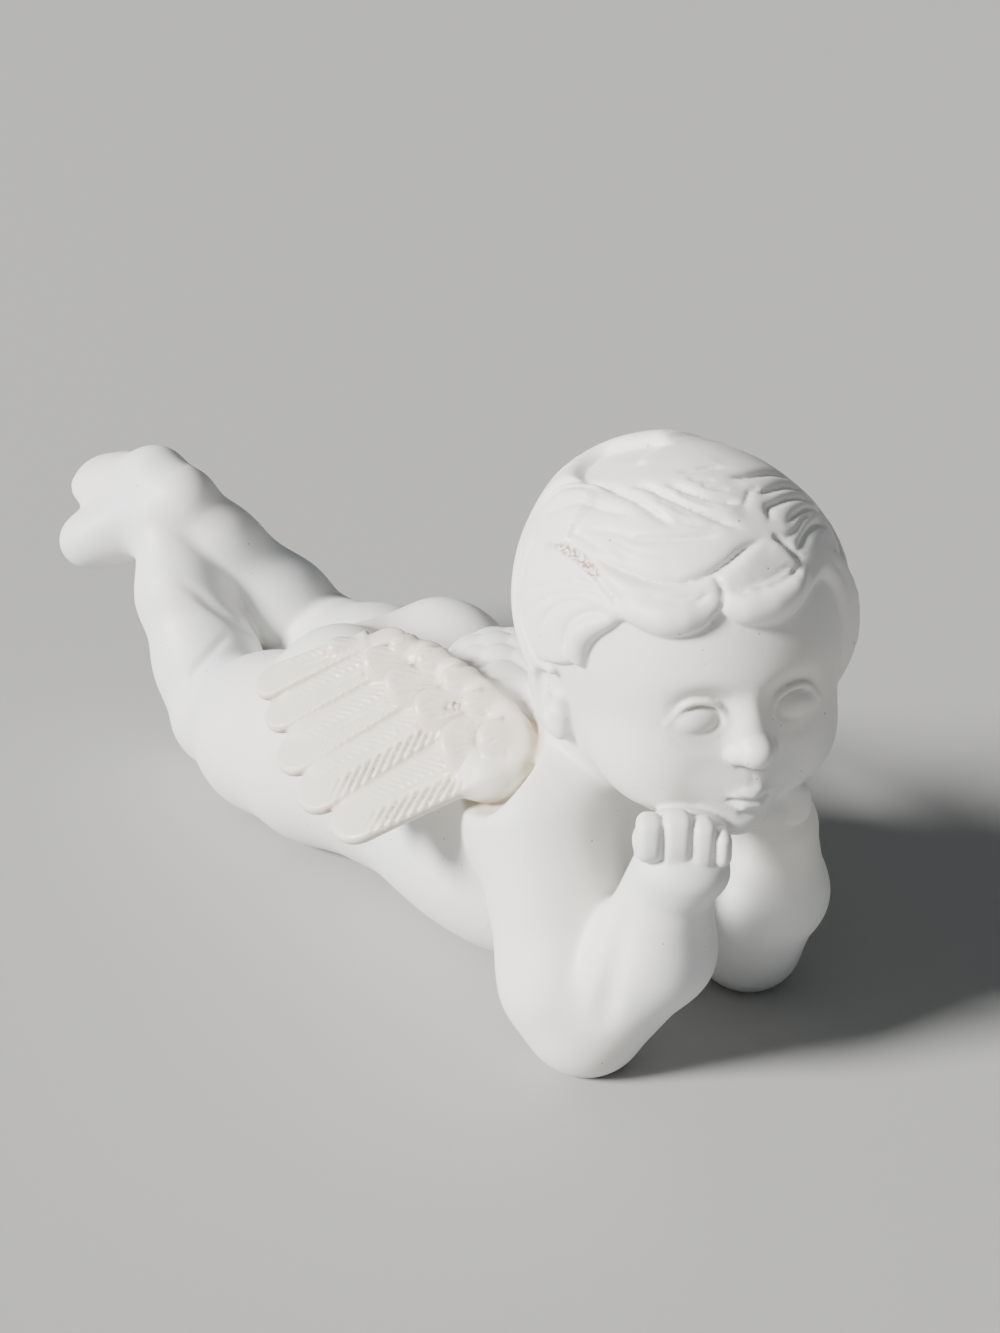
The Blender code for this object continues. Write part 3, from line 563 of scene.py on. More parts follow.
def face(clay):
    face_mass(clay)
    for side in (-1, 1):
        eye = laid_once(("eye", side), [on_head(side * 10.9, -36, 0.0)], -2.3)[0]
        socket = laid_once(("socket", side), [on_head(side * 9.8, -36, 3.6)])[0]
        clay.relief(dent(socket, (7.6, 8.0, 3.8), 1.25))
        clay.add(ellipsoid(eye, (6.3, 4.1, 4.0), HEAD_AXES), 0.5)
        upper = over(side, ((4.4, -34, -0.9), (6.8, -36, 2.0), (10.6, -36, 3.3), (14.4, -36, 2.4),
                            (17.8, -34, -0.6)), "upper", 14, -0.3)
        lower = over(side, ((4.8, -34, -1.2), (7.6, -36, -2.9), (11.0, -35, -3.6), (14.4, -35, -2.8),
                            (17.0, -34, -0.9)), "lower", 14, -0.55)
        clay.add(limb(upper, 0.42 + 0.34 * np.sin(np.linspace(0.25, 2.9, 14))), 0.9)
        clay.add(limb(lower, 0.4 + 0.25 * np.sin(np.linspace(0.2, 2.9, 14))), 1.2)
        under = over(side, ((5.8, -36, -4.8), (10.4, -36, -6.6), (14.8, -36, -5.4),
                            (17.4, -34, -3.0)), "under", 10)
        clay.relief(groove(under, 1.2, 0.16, 0.35))
        corner = over(side, ((17.2, -34, -0.8), (19.6, -33, -1.6), (21.4, -32, -3.0)), "corner", 6)
        clay.relief(groove(corner, 0.8, 0.12, 0.5))
    clay.add(limb(head_path((0, -33.5, 2), (0, -36.9, -5)), [2.5, 3.1]), 4)
    bulge(clay, (0, -39.4, -6.9), (3.9, 3.6, 3.4), 1.8)
    for side in (-1, 1):
        bulge(clay, (side * 3.6, -37.2, -7.8), (2.1, 2.7, 2.1), 1.4)
        clay.carve(ellipsoid(on_head(side * 2.2, -38.4, -10.5), (1.1, 1.5, 0.8), HEAD_AXES), 0.8)
    bulge(clay, (0, -32.0, -15.6), (6.4, 6.2, 4.6), 2.0)
    for side in (-1, 1):
        lip = head_path((4.6, -36.2, -18.1), (2.8, -37.5, -17.5), (1.3, -38.2, -16.9),
                        (0, -38.4, -17.2), side=side)
        clay.add(limb(lip, [0.6, 1.1, 1.25, 1.15]), 1.2)
    low_lip = head_path((-3.8, -36.2, -19.7), (-1.6, -37.5, -20.5), (1.6, -37.5, -20.5),
                        (3.8, -36.2, -19.7))
    clay.add(limb(low_lip, [0.6, 1.35, 1.35, 0.6]), 1.2)
    parting = head_path((-5.2, -36.2, -18.6), (-2.6, -38.4, -18.9), (0, -39.2, -18.8),
                        (2.6, -38.4, -18.9), (5.2, -36.2, -18.6))
    clay.relief(groove(smooth_path(parting, 12), 0.6, 0.9, 0.12))
    philtrum = head_path((0, -38.8, -11.6), (0, -38.9, -15.4))
    clay.relief(groove(philtrum, 0.8, 0.35, 0.2))
    under_lip = head_path((-2.6, -37, -22.4), (0, -37.5, -22.8), (2.6, -37, -22.4))
    clay.relief(groove(under_lip, 1.4, 0.5, 0.3))


def nape(clay):
    bulge(clay, (0, 9, -11), (33.0, 29, 23), 4)


def temple(clay):
    """The base on which the ears lie."""
    face_mass(clay)
    nape(clay)


def ear(clay, side):
    """Low and smooth, its upper part under the hair."""
    def at(name, spots, lift, count=1):
        path = [on_head(side * 33, y, z) for y, z in spots]
        return laid_once((name, side), smooth_path(path, count) if count > 1 else path, lift, temple)

    dome = at("ear", [(-2.4, -8.6)], -0.4)[0]
    clay.add(ellipsoid(dome, (2.6, 5.6, 8.6), HEAD_AXES), 1.8)
    rim = [(-7.5, 2.6), (-2.4, 2.0), (2.0, -1.6), (3.2, -7.0), (1.4, -12.2), (-1.6, -15.4)]
    rim = at("rim", rim, 0.9, 18)
    clay.add(limb(rim, np.linspace(1.2, 1.7, 18)), 1.6)
    clay.add(ellipsoid(at("lobe", [(-3.8, -15.0)], 0.6)[0], (2.2, 3.2, 3.4), HEAD_AXES), 1.4)
    clay.add(limb(at("tragus", [(-7.0, -6.0), (-6.6, -9.4)], 0.3), [1.5, 1.4]), 1.6)
    hollow = [(-4.6, -2.8), (-1.6, -2.6), (0.2, -6.4), (-1.2, -11.0), (-4.0, -11.6)]
    hollow = at("hollow", hollow, 2.0, 14)
    clay.relief(groove(hollow, 1.1, 1.0, 0.15))
    clay.relief(groove(at("bowl", [(-4.2, -6.0), (-4.0, -9.6)], 1.8), 1.7, 0.9, 0.1))


# Hair: thickness over the skull, middle of the hair as longitude and latitude, and its edge
HAIR_LIFT = 2.2
HAIR_MIDDLE = (180, 30)
HAIRLINE = [
    (60.5, -0.5), (57.5, 4.5), (55, 10), (51, 15), (45, 19.5), (39, 20.5), (33, 19), (28, 17.6),
    (22, 18.2), (16, 20.4), (11, 25), (5, 21.5), (-4, 19.6), (-13, 20), (-22, 22), (-31, 25.5),
    (-40, 26), (-46, 20), (-48, 10), (-48, 0), (-47, -10), (-50, -18), (-60, -18), (-72, -14),
    (-84, -16), (-92, -26), (-104, -36), (-124, -44), (-150, -47), (180, -48), (150, -47), (124, -44),
    (104, -36), (90, -27), (86, -19), (80, -11.5), (72.5, -7), (65.5, -4),
]

# Creases of the hair: depth, width, rise of the locks to its left and right, and their reach; then its
# longitudes and latitudes
CREASES = [
    ((1.15, 0.75, 0.5, 0.5, 4.5), [(113, 28), (112, 38), (108, 48), (102, 53.5), (94, 57.5),
     (84, 60.3), (72, 61), (60, 61), (50, 59.5), (40, 57), (30, 54), (19, 52.3)]),
    ((0.7, 0.7, 0.3, 0.3, 4), [(107, 32), (106, 42), (101, 49), (93, 53.5), (84, 56), (74, 57)]),
    ((0.75, 0.75, 0.3, 0.3, 4), [(99, 38), (93, 44.5), (85, 49.5), (75, 52.5), (63, 54.2), (51, 55)]),
    ((1.25, 0.8, 0.6, 0.6, 5), [(72, 63), (62, 66), (51, 66.8), (40, 65.3), (30, 63.3), (20, 61),
     (10, 58), (2, 55), (-4, 52.6), (-9, 50.8)]),
    ((1.2, 0.8, 0.6, 0.6, 5), [(46, 68.6), (36, 69.6), (25, 68.6), (15, 66.2), (5, 64), (-7, 62),
     (-18, 60)]),
    ((0.6, 0.8, 0.3, 0.3, 4), [(36, 76), (20, 77), (4, 77.5), (-12, 78), (-26, 77), (-40, 74.5)]),
    ((0.5, 0.7, 0.2, 0.2, 3), [(22, 73), (6, 72), (-9, 71)]),
    ((1.3, 0.95, 0.5, 0.9, 5), [(64, 38), (56, 36.8), (48, 36), (40, 35), (32, 34.2), (24, 34.8),
     (18, 36.2), (12, 38.2), (5, 41), (-2, 44), (-11, 46), (-20, 47)]),
    ((0.9, 0.7, 0.3, 0.3, 4), [(53, 45.5), (45, 47.2), (30, 49), (16, 50.2), (3, 50.3)]),
    ((0.32, 0.5, 0, 0, 2), [(60, 46), (48, 43.6), (36, 42.6), (25, 43.5)], [(58, 43.2), (47, 41),
     (35, 40), (23, 41)], [(54, 41), (43, 38.8), (32, 38), (20, 39.5)]),
    ((0.28, 0.5, 0, 0, 2), [(50, 38.6), (42, 37), (32, 36.2), (24, 37)]),
    ((0.9, 0.7, 0.5, 0.3, 4), [(86, 32.5), (80, 34.8), (72, 35.4), (64, 34.6), (58, 32.2), (51, 28.6),
     (44, 24.5), (38, 21.8)]),
    ((1.0, 0.65, 0.0, 0.4, 3), [(42, 26), (35, 25.2), (28, 25.8), (22, 27.6), (17, 30), (13, 33)]),
    ((0.4, 0.5, 0, 0, 2), [(38, 29.5), (30, 29), (23, 30.2), (18, 32)]),
    ((1.0, 0.6, 0.0, 0.0, 3), [(10.5, 25.5), (9, 30), (10.2, 35), (13, 38)]),
    ((0.6, 0.6, 0, 0, 3), [(-3, 25.6), (-8, 25), (-13, 25.8)]),
    ((1.2, 0.7, 0.2, 0.7, 4), [(-20, 47), (-25, 42.5), (-27, 38), (-30, 35)]),
    ((0.9, 0.9, 0.3, 0.3, 4), [(-27, 38), (-36, 40.4), (-45, 41.4), (-55, 40), (-64, 35)]),
    ((1.0, 0.9, 0.4, 0.4, 4), [(-21, 50.4), (-26, 52), (-31, 55), (-40, 54.5), (-52, 52.5), (-64, 48),
     (-76, 40)]),
    ((1.0, 0.8, 0.4, 0.4, 4), [(-22, 70), (-32, 70), (-43, 68), (-56, 65), (-70, 60), (-84, 50)]),
    ((0.9, 0.8, 0.3, 0.3, 4), [(-29, 60.5), (-38, 60), (-50, 58), (-64, 54), (-78, 45)]),
    ((0.8, 0.8, 0.3, 0.3, 4), [(-30, 47), (-42, 48), (-56, 46), (-70, 40), (-80, 30)]),
    ((0.9, 0.7, 0.3, 0.3, 3.5), [(93, 10), (90, 2), (84.5, -5), (78, -9)]),
    ((0.5, 0.6, 0.2, 0.2, 3), [(91, 8), (86.5, 15), (78, 21), (68, 26), (59, 28.6), (51, 28)]),
    ((0.45, 0.6, 0.2, 0.2, 3), [(84, 6), (80, 13.5), (72, 20), (64, 24), (56, 25.6), (49, 25)]),
    ((0.5, 0.6, 0.2, 0.2, 3), [(75, 3), (75, 10), (69.5, 17.5), (62, 21.8), (54, 23)]),
    ((1.3, 0.9, 0.5, 0.2, 3.5), [(48, 20.6), (55, 19.6), (60.5, 16), (64, 10.5), (64.6, 5), (63, 0.5)]),
    ((0.7, 0.6, 0.3, 0.3, 3.5), [(113, 30), (109, 15), (102, 1), (94, -11), (86, -23)], [(104, 27),
     (101, 14), (96, 2), (89, -9), (82, -19)]),
    ((0.6, 0.6, 0.2, 0.2, 3), [(97, 33), (97, 22), (94, 13)]),
    ((0.55, 0.5, 0.1, 0.1, 2.5), [(30, 55.5), (20, 54.6), (12, 53.4), (4, 53.2)]),
    ((0.5, 0.5, 0.1, 0.1, 2.5), [(44, 62.6), (34, 61.4), (24, 58.8), (16, 57.4)], [(30, 67.2),
     (20, 64.6), (10, 62), (0, 60)]),
    ((0.45, 0.5, 0.1, 0.1, 2.5), [(10, 70), (-4, 67.5), (-16, 66)], [(-12, 58), (-20, 60.4),
     (-30, 63), (-42, 62)]),
    ((0.5, 0.5, 0.1, 0.1, 2.5), [(-24, 44.6), (-34, 44), (-46, 45), (-58, 43)]),
    ((0.4, 0.45, 0, 0, 2), [(72, 44), (64, 46.4), (56, 47.6), (47, 47.4)], [(80, 40.5), (72, 41.6),
     (64, 41.2), (57, 40)], [(92, 26), (84, 28.4), (74, 29.6), (64, 28.8), (54, 26)], [(94, 20),
     (88, 22.6), (79, 25), (70, 26)]),
    ((0.35, 0.45, 0, 0, 2), [(4, 33.5), (-6, 33.2), (-16, 34.6), (-24, 37.2)]),
    ((0.45, 0.5, 0, 0, 2), [(2, 28.5), (-8, 28.2), (-17, 30.0), (-25, 33.0)], [(-46, 30), (-53, 20),
     (-56, 8), (-55, -5), (-52, -16)]),
]
# Edge of the swept tuft, which stands over the hair behind it
TUFT = [
    (176, 84), (158, 76), (146, 68), (144, 60), (134, 56), (119, 55), (106, 55.5), (95, 57.5),
    (84, 60.3), (72, 61.5),
]
# Rolls of the fringe and the temples: route, radii and lift over the skull
FRINGE_ROLLS = [
    ([(45, 25.5), (38, 24.2), (30, 23.4), (23, 24.2), (15, 27.2)], [1.5, 3.0, 3.6, 3.2, 1.4], 0.4),
    ([(7, 29.5), (0, 27.2), (-9, 26.6), (-18, 28.2), (-27, 31.8)], [1.8, 3.6, 4.1, 3.8, 2.2], 0.2),
    ([(-48, 34), (-55, 24), (-57.5, 10), (-56, -5), (-52, -18), (-49, -27)],
     [1.2, 2.6, 3.5, 3.7, 3.0, 1.4], 0.0),
    ([(49, 18.6), (55.5, 15.4), (59.6, 10.4), (60.4, 5), (59, 0.5)], [1.0, 2.1, 2.6, 2.2, 1.2], 0.6),
]
# Beaded furrow over the fringe
BEADED = [(8, 34.5), (3, 31.6), (-4, 31), (-11, 31.4), (-18, 32.4), (-25, 34.2), (-29, 36)]
# Back of the hair: longitudes of the waves, their sway by latitude, and two furrows for each as the turn
# from its longitude and the depth
BACK_LONGITUDES = range(124, 237, 14)
BACK_WAVE = [(0, 58), (3.5, 40), (-3.5, 20), (3.5, 0), (-3, -20), (1, -42)]
BACK_FURROWS = [(0, 0.9), (7, 0.55)]
# Furrows on the far side of the hair
FAR_SIDE = [
    [(-92, 46), (-84, 33), (-76, 22), (-66, 15), (-58, 14)],
    [(-96, 38), (-92, 22), (-84, 8), (-74, 1), (-64, 2)],
    [(-104, 34), (-102, 12), (-95, -8), (-86, -16)],
    [(-114, 34), (-112, 6), (-106, -16), (-100, -30)],
    [(-80, 38), (-72, 30), (-63, 24), (-54, 23)],
]


def edge_angles(ways):
    """Angle off the middle of the hair, and the heading around it."""
    middle = skull_ways([HAIR_MIDDLE])[0]
    first = unit(np.cross((0, 0, 1), middle))
    second = np.cross(middle, first)
    off = np.arccos(np.clip(ways @ middle, -1, 1))
    return off, np.arctan2(ways @ second, ways @ first)


def hair_edge():
    """Closed hairline as headings and the angles at which the hair ends."""
    knots = skull_ways(HAIRLINE)
    closed = np.vstack([knots[-1:], knots, knots[:2]])
    ways = smooth_path(closed, 12 * (len(closed) - 1))
    ways /= np.linalg.norm(ways, axis=1)[:, None]
    off, heading = edge_angles(ways)
    order = np.argsort(heading)
    return heading[order], off[order]


EDGE_HEADINGS, EDGE_OFFS = hair_edge()
# Millimetres to a radian along the hair, and rounding of its edge
EDGE_ARC = 36.0
EDGE_ROUND = 3.2


def cap():
    """The hair's smooth mass, a shell over the skull that ends at the hairline in a rounded edge."""
    skull = ellipsoid(on_head(*SKULL), SKULL_RADII, HEAD_AXES)[2]
    centre = on_head(*SKULL).astype(np.float32)
    turning = (HEAD_AXES.T / SKULL_RADII).astype(np.float32)

    def measure(points):
        ways = (points - centre) @ turning
        ways = ways / np.maximum(np.linalg.norm(ways, axis=-1, keepdims=True), 1e-6)
        off, heading = edge_angles(ways)
        edge = (off - np.interp(heading, EDGE_HEADINGS, EDGE_OFFS, period=2 * np.pi)) * EDGE_ARC
        return -soft_min(HAIR_LIFT - skull(points), -edge.astype(np.float32), EDGE_ROUND)

    return around(on_head(*SKULL), SKULL_RADII.max() + 4, measure)


def flattened(points):
    """Points moved straight toward or from the skull's middle until they lie on the hair's level."""
    centre = on_head(*SKULL).astype(np.float32)
    radii = (SKULL_RADII + HAIR_LIFT).astype(np.float32)
    axes = HEAD_AXES.astype(np.float32)
    local = ((points - centre) @ axes.T) / radii
    local = local / np.maximum(np.linalg.norm(local, axis=-1, keepdims=True), 1e-6)
    return centre + (local * radii) @ axes


# Rounding of a furrow's bottom, and the share by which beads change its depth
FURROW_ROUND = 0.3
BEAD_SHARE = 0.1


def crease(route, depth, width, left, right, reach, fade=0.22, beads=0.0):
    """A sharp furrow on the skull that lets the locks beside it swell."""
    route = smooth_path(route, max(2, 3 * (len(route) - 1)))
    path = on_skull(route, HAIR_LIFT)
    normals = (skull_ways(route) / SKULL_RADII) @ HEAD_AXES

    def measure(points):
        gap, share, side = along_path(flattened(points), path, normals)
        ends = np.clip(np.minimum(share, 1 - share) / fade, 0, 1)
        ends = ends * ends * (3 - 2 * ends)
        furrow = depth * np.exp((FURROW_ROUND - np.sqrt(gap * gap + FURROW_ROUND ** 2)) / width)
        if beads:
            furrow = furrow * (1 + BEAD_SHARE * np.sin(share * beads))
        swell = (1 - np.exp(-gap)) * np.exp(-(gap / reach) ** 2)
        return ends * (furrow - np.where(side > 0, left, right) * swell)

    return around(path, 2 * reach + 3, measure)


def hair(clay):
    nape(clay)
    clay.add(cap(), 0.5)
    for sizes, *routes in CREASES:
        for route in routes:
            clay.relief(crease(route, *sizes))
    clay.relief(crease(TUFT, 0.6, 0.8, -1.0, 2.4, 15, 0.12))
    for longitude in BACK_LONGITUDES:
        for turn_by, depth in BACK_FURROWS:
            swing = 1 + 0.4 * np.sin(0.2 * (longitude + turn_by))
            route = [(longitude + turn_by + swing * sway, latitude) for sway, latitude in BACK_WAVE]
            clay.relief(crease(route, depth, 0.7, 0.3, 0.3, 4))
    for route in FAR_SIDE:
        clay.relief(crease(route, 0.9, 0.8, 0.4, 0.4, 4.5))
    for route, radii, lift in FRINGE_ROLLS:
        count = 3 * (len(route) - 1) + 1
        radii = np.interp(np.linspace(0, 1, count), np.linspace(0, 1, len(radii)), radii)
        clay.add(limb(on_skull(smooth_path(route, count), lift), radii, soft=1), 1.0)
    clay.relief(crease(BEADED, 0.6, 0.8, 0.4, 0.0, 3, 0.2, 41.0))


# Wing: its root, how far the blade lies below it, its way outward, roughly up and squarely up, and its way
# toward the head
WING_POINT = np.array([-27.0, 48.0, 77.0])
WING_SINK = 1.5
WING_OUT = unit((-0.72, 0.58, -0.375))
WING_TOP = np.array([-0.561, -0.17, 0.81])
WING_UP = unit(WING_TOP - (WING_TOP @ WING_OUT) * WING_OUT)
WING_FORWARD = np.cross(WING_UP, WING_OUT)


def on_wing(out, forward, lift=0.0, side=-1):
    point = WING_POINT + out * WING_OUT + forward * WING_FORWARD + (lift - WING_SINK) * WING_UP
    return point * (-side, 1, 1)


def wing_ways(side):
    """The wing's ways outward, toward the head and up; side is -1 for the near wing and 1 for the far."""
    return np.array([WING_OUT, WING_FORWARD, WING_UP]) * (-side, 1, 1)


def feather_frame(root, tip, height, side):
    """Start and end of a feather, and its ways along, across and up."""
    start, end = (on_wing(*spot, height, side) for spot in (root, tip))
    along = unit(end - start)
    _, across, up = wing_ways(side)
    return start, end, (along, unit(across - (across @ along) * along), up)


def along_ways(points, start, ways):
    local = points - start.astype(np.float32)
    return (local @ way.astype(np.float32) for way in ways)


# Long feathers on the blade, hind one first: root and middle of the round tip as (outward, toward the
# head), half widths there, place of the quill from -1 to 1, depth of the barbs behind and before the quill
FEATHERS = [
    ((25, -27.6), (49.6, -26.8), 3.6, 5.6, 0.0, 0.25, 0.3),
    ((14, -20.5), (47.6, -16.6), 5.0, 6.3, 0.05, 0.4, 0.3),
    ((9, -10.0), (45.2, -3.0), 5.9, 7.0, 0.05, 0.4, 0.35),
    ((6, 2.6), (40.6, 9.8), 6.9, 7.7, 0.0, 0.35, 1.15),
    ((1, 18.6), (32.6, 21.4), 8.6, 8.2, 0.12, 0.35, 1.25),
]
# Coverts: root and tip as (outward, toward the head), half width, height over the blade
COVERTS = [
    ((21.8, -25.2), (34.0, -28.6), 3.8, 1.9),
    ((10, -14.6), (25.0, -18.8), 5.8, 3.2),
    ((5.0, -4.4), (20.4, -9.0), 6.5, 4.2),
    ((0.6, 5.2), (14.2, 2.2), 6.9, 5.0),
    ((-4, 18.4), (9.6, 15.4), 8.8, 5.5),
]
# Small coverts along the inner edge, in the same way
SMALL_COVERTS = [
    ((12.6, -20.6), (17.4, -20.8), 3.5, 3.0),
    ((6.0, -11.6), (11.4, -12.4), 4.3, 4.1),
    ((0.6, -2.0), (6.0, -3.0), 4.4, 4.9),
    ((-3.2, 7.8), (2.2, 6.8), 4.5, 5.5),
    ((-6.0, 19.3), (-0.6, 18.4), 6.0, 5.5),
]
# Half thicknesses of feathers and coverts, tilt of the feathers, fall of the coverts to their roots
BLADE_HALF = 1.7
COVERT_HALF = 2.5
BLADE_TILT = 0.1
COVERT_SLOPE = 0.33
# Feathers: curve along them, droop of the tip, pitch of fine and of deep barbs, the depth from which they
# are deep, the level between barbs, and the quill's half width, depth at its sides and share of the length
BLADE_CURVE = 0.0012
TIP_DROOP = 0.25
FINE_PITCH = 1.9
DEEP_PITCH = 2.9
DEEP_BARBS = 0.6
BARB_LEVEL = 0.65
QUILL_HALF = 1.1
QUILL_DEPTH = 0.5
QUILL_SHARE = 0.75
# Coverts: where the fan's lines start behind the root, their pitch, their depth and the level between them
FAN_START = 4.5
FAN_PITCH = 2.1
FAN_DEPTH = 0.45
FAN_LEVEL = 0.7
# Round front end of the wing, and the gap round it
LOBE_RADII = (8.8, 9.6, 5.4)
LOBE_GAP = (13.0, 14.5, 8.5)
# Rounded crest of the inner edge, hind end first: (outward, toward the head, height)
INNER_EDGE = [
    (24, -26.5, -1.4), (13.5, -20.5, -0.2), (6.2, -12, 0.8), (0.8, -3, 1.2), (-4.0, 6, 1.4),
    (-7.4, 15, 1.2), (-7.0, 23, 0.6),
]
# Down between the roots of the wings: rows of scales that point to the feet, each as its middle along the
# back and its scales' places across it; then a scale's radii and height, the mound and the box of it all
DOWN_ROWS = [
    (52, (-13.5, -4.5, 4.5, 13.5)),
    (59, (-17, -9, 0, 9, 17)),
    (66, (-12.5, -4.5, 4.5, 12.5)),
    (73, (-8.5, 0, 8.5)),
    (80, (-4, 4)),
]
DOWN_RADII = (5.2, 7.0)
DOWN_HEIGHT = 2.0
DOWN_MOUND = ((-1.0, 66.0, 64.0), (17.0, 20.0, 14.5))
DOWN_BOX = ((-24, 44, 56), (24, 88, 96))


def paddle(root, tip, half_root, half_tip, quill, hind, fore, side):
    """A long flat feather with a round tip, its fore edge raised over the next feather."""
    start, end, ways = feather_frame(root, tip, 0.0, side)
    length = np.linalg.norm(end - start)
    spread_out = (half_tip - half_root) / length

    def measure(points):
        u, v, w = along_ways(points, start, ways)
        half = half_root + spread_out * np.clip(u, 0, length)
        past = np.clip(u - length, 0, None)
        outline = np.sqrt(past * past + v * v) - half
        outline = np.maximum(outline, -u - 2)
        w = w - BLADE_TILT * v + BLADE_CURVE * u * u - TIP_DROOP * past / half_tip
        shaft = v - quill * half
        off_shaft = np.abs(shaft)
        side_barbs = np.where(shaft < 0, hind, fore)
        pitch = np.where(side_barbs > DEEP_BARBS, DEEP_PITCH, FINE_PITCH)
        comb = BARB_LEVEL - np.abs(np.sin(np.pi * (u - off_shaft) / pitch))
        inner = np.clip(-outline / 2.0, 0, 1) * np.clip((length + 1.0 - u) / 7, 0, 1) * (w > 0)
        barbs = side_barbs * comb * np.clip((off_shaft - QUILL_HALF) / 0.8, 0, 1)
        lines = np.exp(-(off_shaft - QUILL_HALF) ** 2 / 0.25)
        lines = lines * np.clip((QUILL_SHARE * length - u) / 6, 0, 1)
        slab = -soft_min(-outline * 0.95, BLADE_HALF - np.abs(w), 1.6)
        return slab + (barbs + QUILL_DEPTH * lines) * inner

    return around([start, end], max(half_root, half_tip) + 3, measure)


def covert(root, tip, half, height, side):
    """A puffy scale with a smooth raised rim, and lines that fan out to it."""
    start, end, ways = feather_frame(root, tip, height, side)
    length = np.linalg.norm(end - start)
    straight = max(length - half, 0.5)

    def measure(points):
        u, v, w = along_ways(points, start, ways)
        past = np.clip(u - straight, 0, None)
        outline = np.sqrt(past * past + v * v) - half * (0.72 + 0.28 * np.clip(u / straight, 0, 1))
        outline = np.maximum(outline, -u - 1.5)
        w = w - COVERT_SLOPE * (u - length) + 0.3 * v * v / half + 0.2 * v
        angle = np.arctan2(v, u + FAN_START)
        fan = FAN_LEVEL - np.abs(np.sin(angle * (length + FAN_START) * np.pi / FAN_PITCH))
        inner = np.clip(-outline / 1.2 - 0.3 * half, 0, 1) * (w > 0)
        slab = -soft_min(-outline * 0.95, COVERT_HALF - np.abs(w), 3.0)
        return slab + FAN_DEPTH * fan * inner

    return around([start, end], half + 3, measure)


def feathers(clay, side):
    """The blade between the feathers, feathers, the wing's root and front end, coverts and crest."""
    ways = wing_ways(side)
    up = ways[2]
    for (root_a, tip_a, *_), (root_b, tip_b, *_) in zip(FEATHERS, FEATHERS[1:]):
        root = on_wing((root_a[0] + root_b[0]) / 2, (root_a[1] + root_b[1]) / 2, -0.6, side)
        tip = on_wing((tip_a[0] + tip_b[0]) / 2 - 3.5, (tip_a[1] + tip_b[1]) / 2, -1.2, side)
        clay.add(limb([root, tip], [6.4, 5.6], up, 0.3), 0.4)
    for root, tip, half_root, half_tip, quill, hind, fore in reversed(FEATHERS):
        clay.add(paddle(root, tip, half_root, half_tip, quill, hind, fore, side), 0.3)
    spots = ((0, 20, -2.4), (5, 6, -2.2), (12, -10, -2.2), (23, -24, -2.4))
    clay.add(limb([on_wing(*spot, side) for spot in spots], [8.6, 8.0, 6.5, 3.6], up, 0.5), 2)
    clay.add(ellipsoid(on_wing(0.5, 20.5, -0.6, side), LOBE_RADII, ways), 2)
    for root, tip, half, height in COVERTS + SMALL_COVERTS:
        clay.add(covert(root, tip, half, height, side), 0.35)
    crest = [on_wing(out, forward, lift, side) for out, forward, lift in INNER_EDGE]
    clay.add(limb(smooth_path(crest, 13), np.linspace(2.4, 4.4, 13), up, 0.8, 1), 2.0)


def down(clay):
    """Small soft scales raised from a mound of the back."""
    clay.add(ellipsoid(*DOWN_MOUND), 6)

    def measure(points):
        height = np.zeros(points.shape[:-1], np.float32)
        for middle, places in DOWN_ROWS:
            for place in places:
                across = (points[..., 0] - place) / DOWN_RADII[0]
                along = (points[..., 1] - middle) / DOWN_RADII[1]
                dome = np.sqrt(np.clip(1 - across * across - along * along, 0, 1))
                height = np.maximum(height, dome * (0.62 + 0.38 * along))
        return -DOWN_HEIGHT * height

    clay.relief((*np.array(DOWN_BOX), measure))


# Small rough chip in the near wing's fourth scale: (outward, toward the head, height), half sizes in those
# ways, and depth
CHIP = (4.4, 4.6, 3.6)
CHIP_HALF = (2.8, 1.7, 4.0)
CHIP_DEPTH = 1.1


def chip(clay):
    middle = on_wing(*CHIP)

    def measure(points):
        local = (points - middle) @ wing_ways(-1).T / CHIP_HALF
        inside = np.clip(2.5 * (1 - np.linalg.norm(local, axis=-1)), 0, 1)
        rough = 0.55 + 0.45 * np.sin(2.6 * points[..., 0] + 1) * np.sin(2.9 * points[..., 1])
        return CHIP_DEPTH * inside * rough

    clay.relief(around(middle, 5, measure))


def wing(clay, side):
    """The wing's round front end stands clear of the shoulder, with a deep gap round it."""
    clay.carve(ellipsoid(on_wing(0.5, 20.5, 1.5, side), LOBE_GAP, wing_ways(side)), 3)
    clay.add(limb([np.array([side * 8, 56, 64]), on_wing(3, 3, -5, side)], [12, 8.5]), 5)
    feathers(clay, side)


def sculpt(clay):
    """The whole figure, cut flat where it rests on the ground."""
    torso(clay)
    limbs(clay, ARMS)
    creases(clay, ARM_CREASES)
    limbs(clay, LEGS)
    creases(clay, LEG_CREASES)
    foot(clay, (-5, 228, 80.5), (-26.5, 265, 60.5), (-0.25, 0.4, 0.85), 1, 1.25)
    foot(clay, (-7, 238, 84), (-17, 274, 78), (-0.2, 0.1, 0.95), -1, 0.95)
    face(clay)
    for side in (-1, 1):
        ear(clay, side)
    hair(clay)
    fist(clay, (-27.5, -25.5, 68.5), (0.782, -0.624, 0), (-0.6, -0.75, 0.1), 0)
    fist(clay, (10.2, -18.6, 66), (0.6, 0.75, 0), (0.75, -0.65, 0.1), 1.5)
    for side in (-1, 1):
        wing(clay, side)
    down(clay)
    chip(clay)
    clay.distance = np.maximum(clay.distance, PAD_DEPTH - clay.points[..., 2])


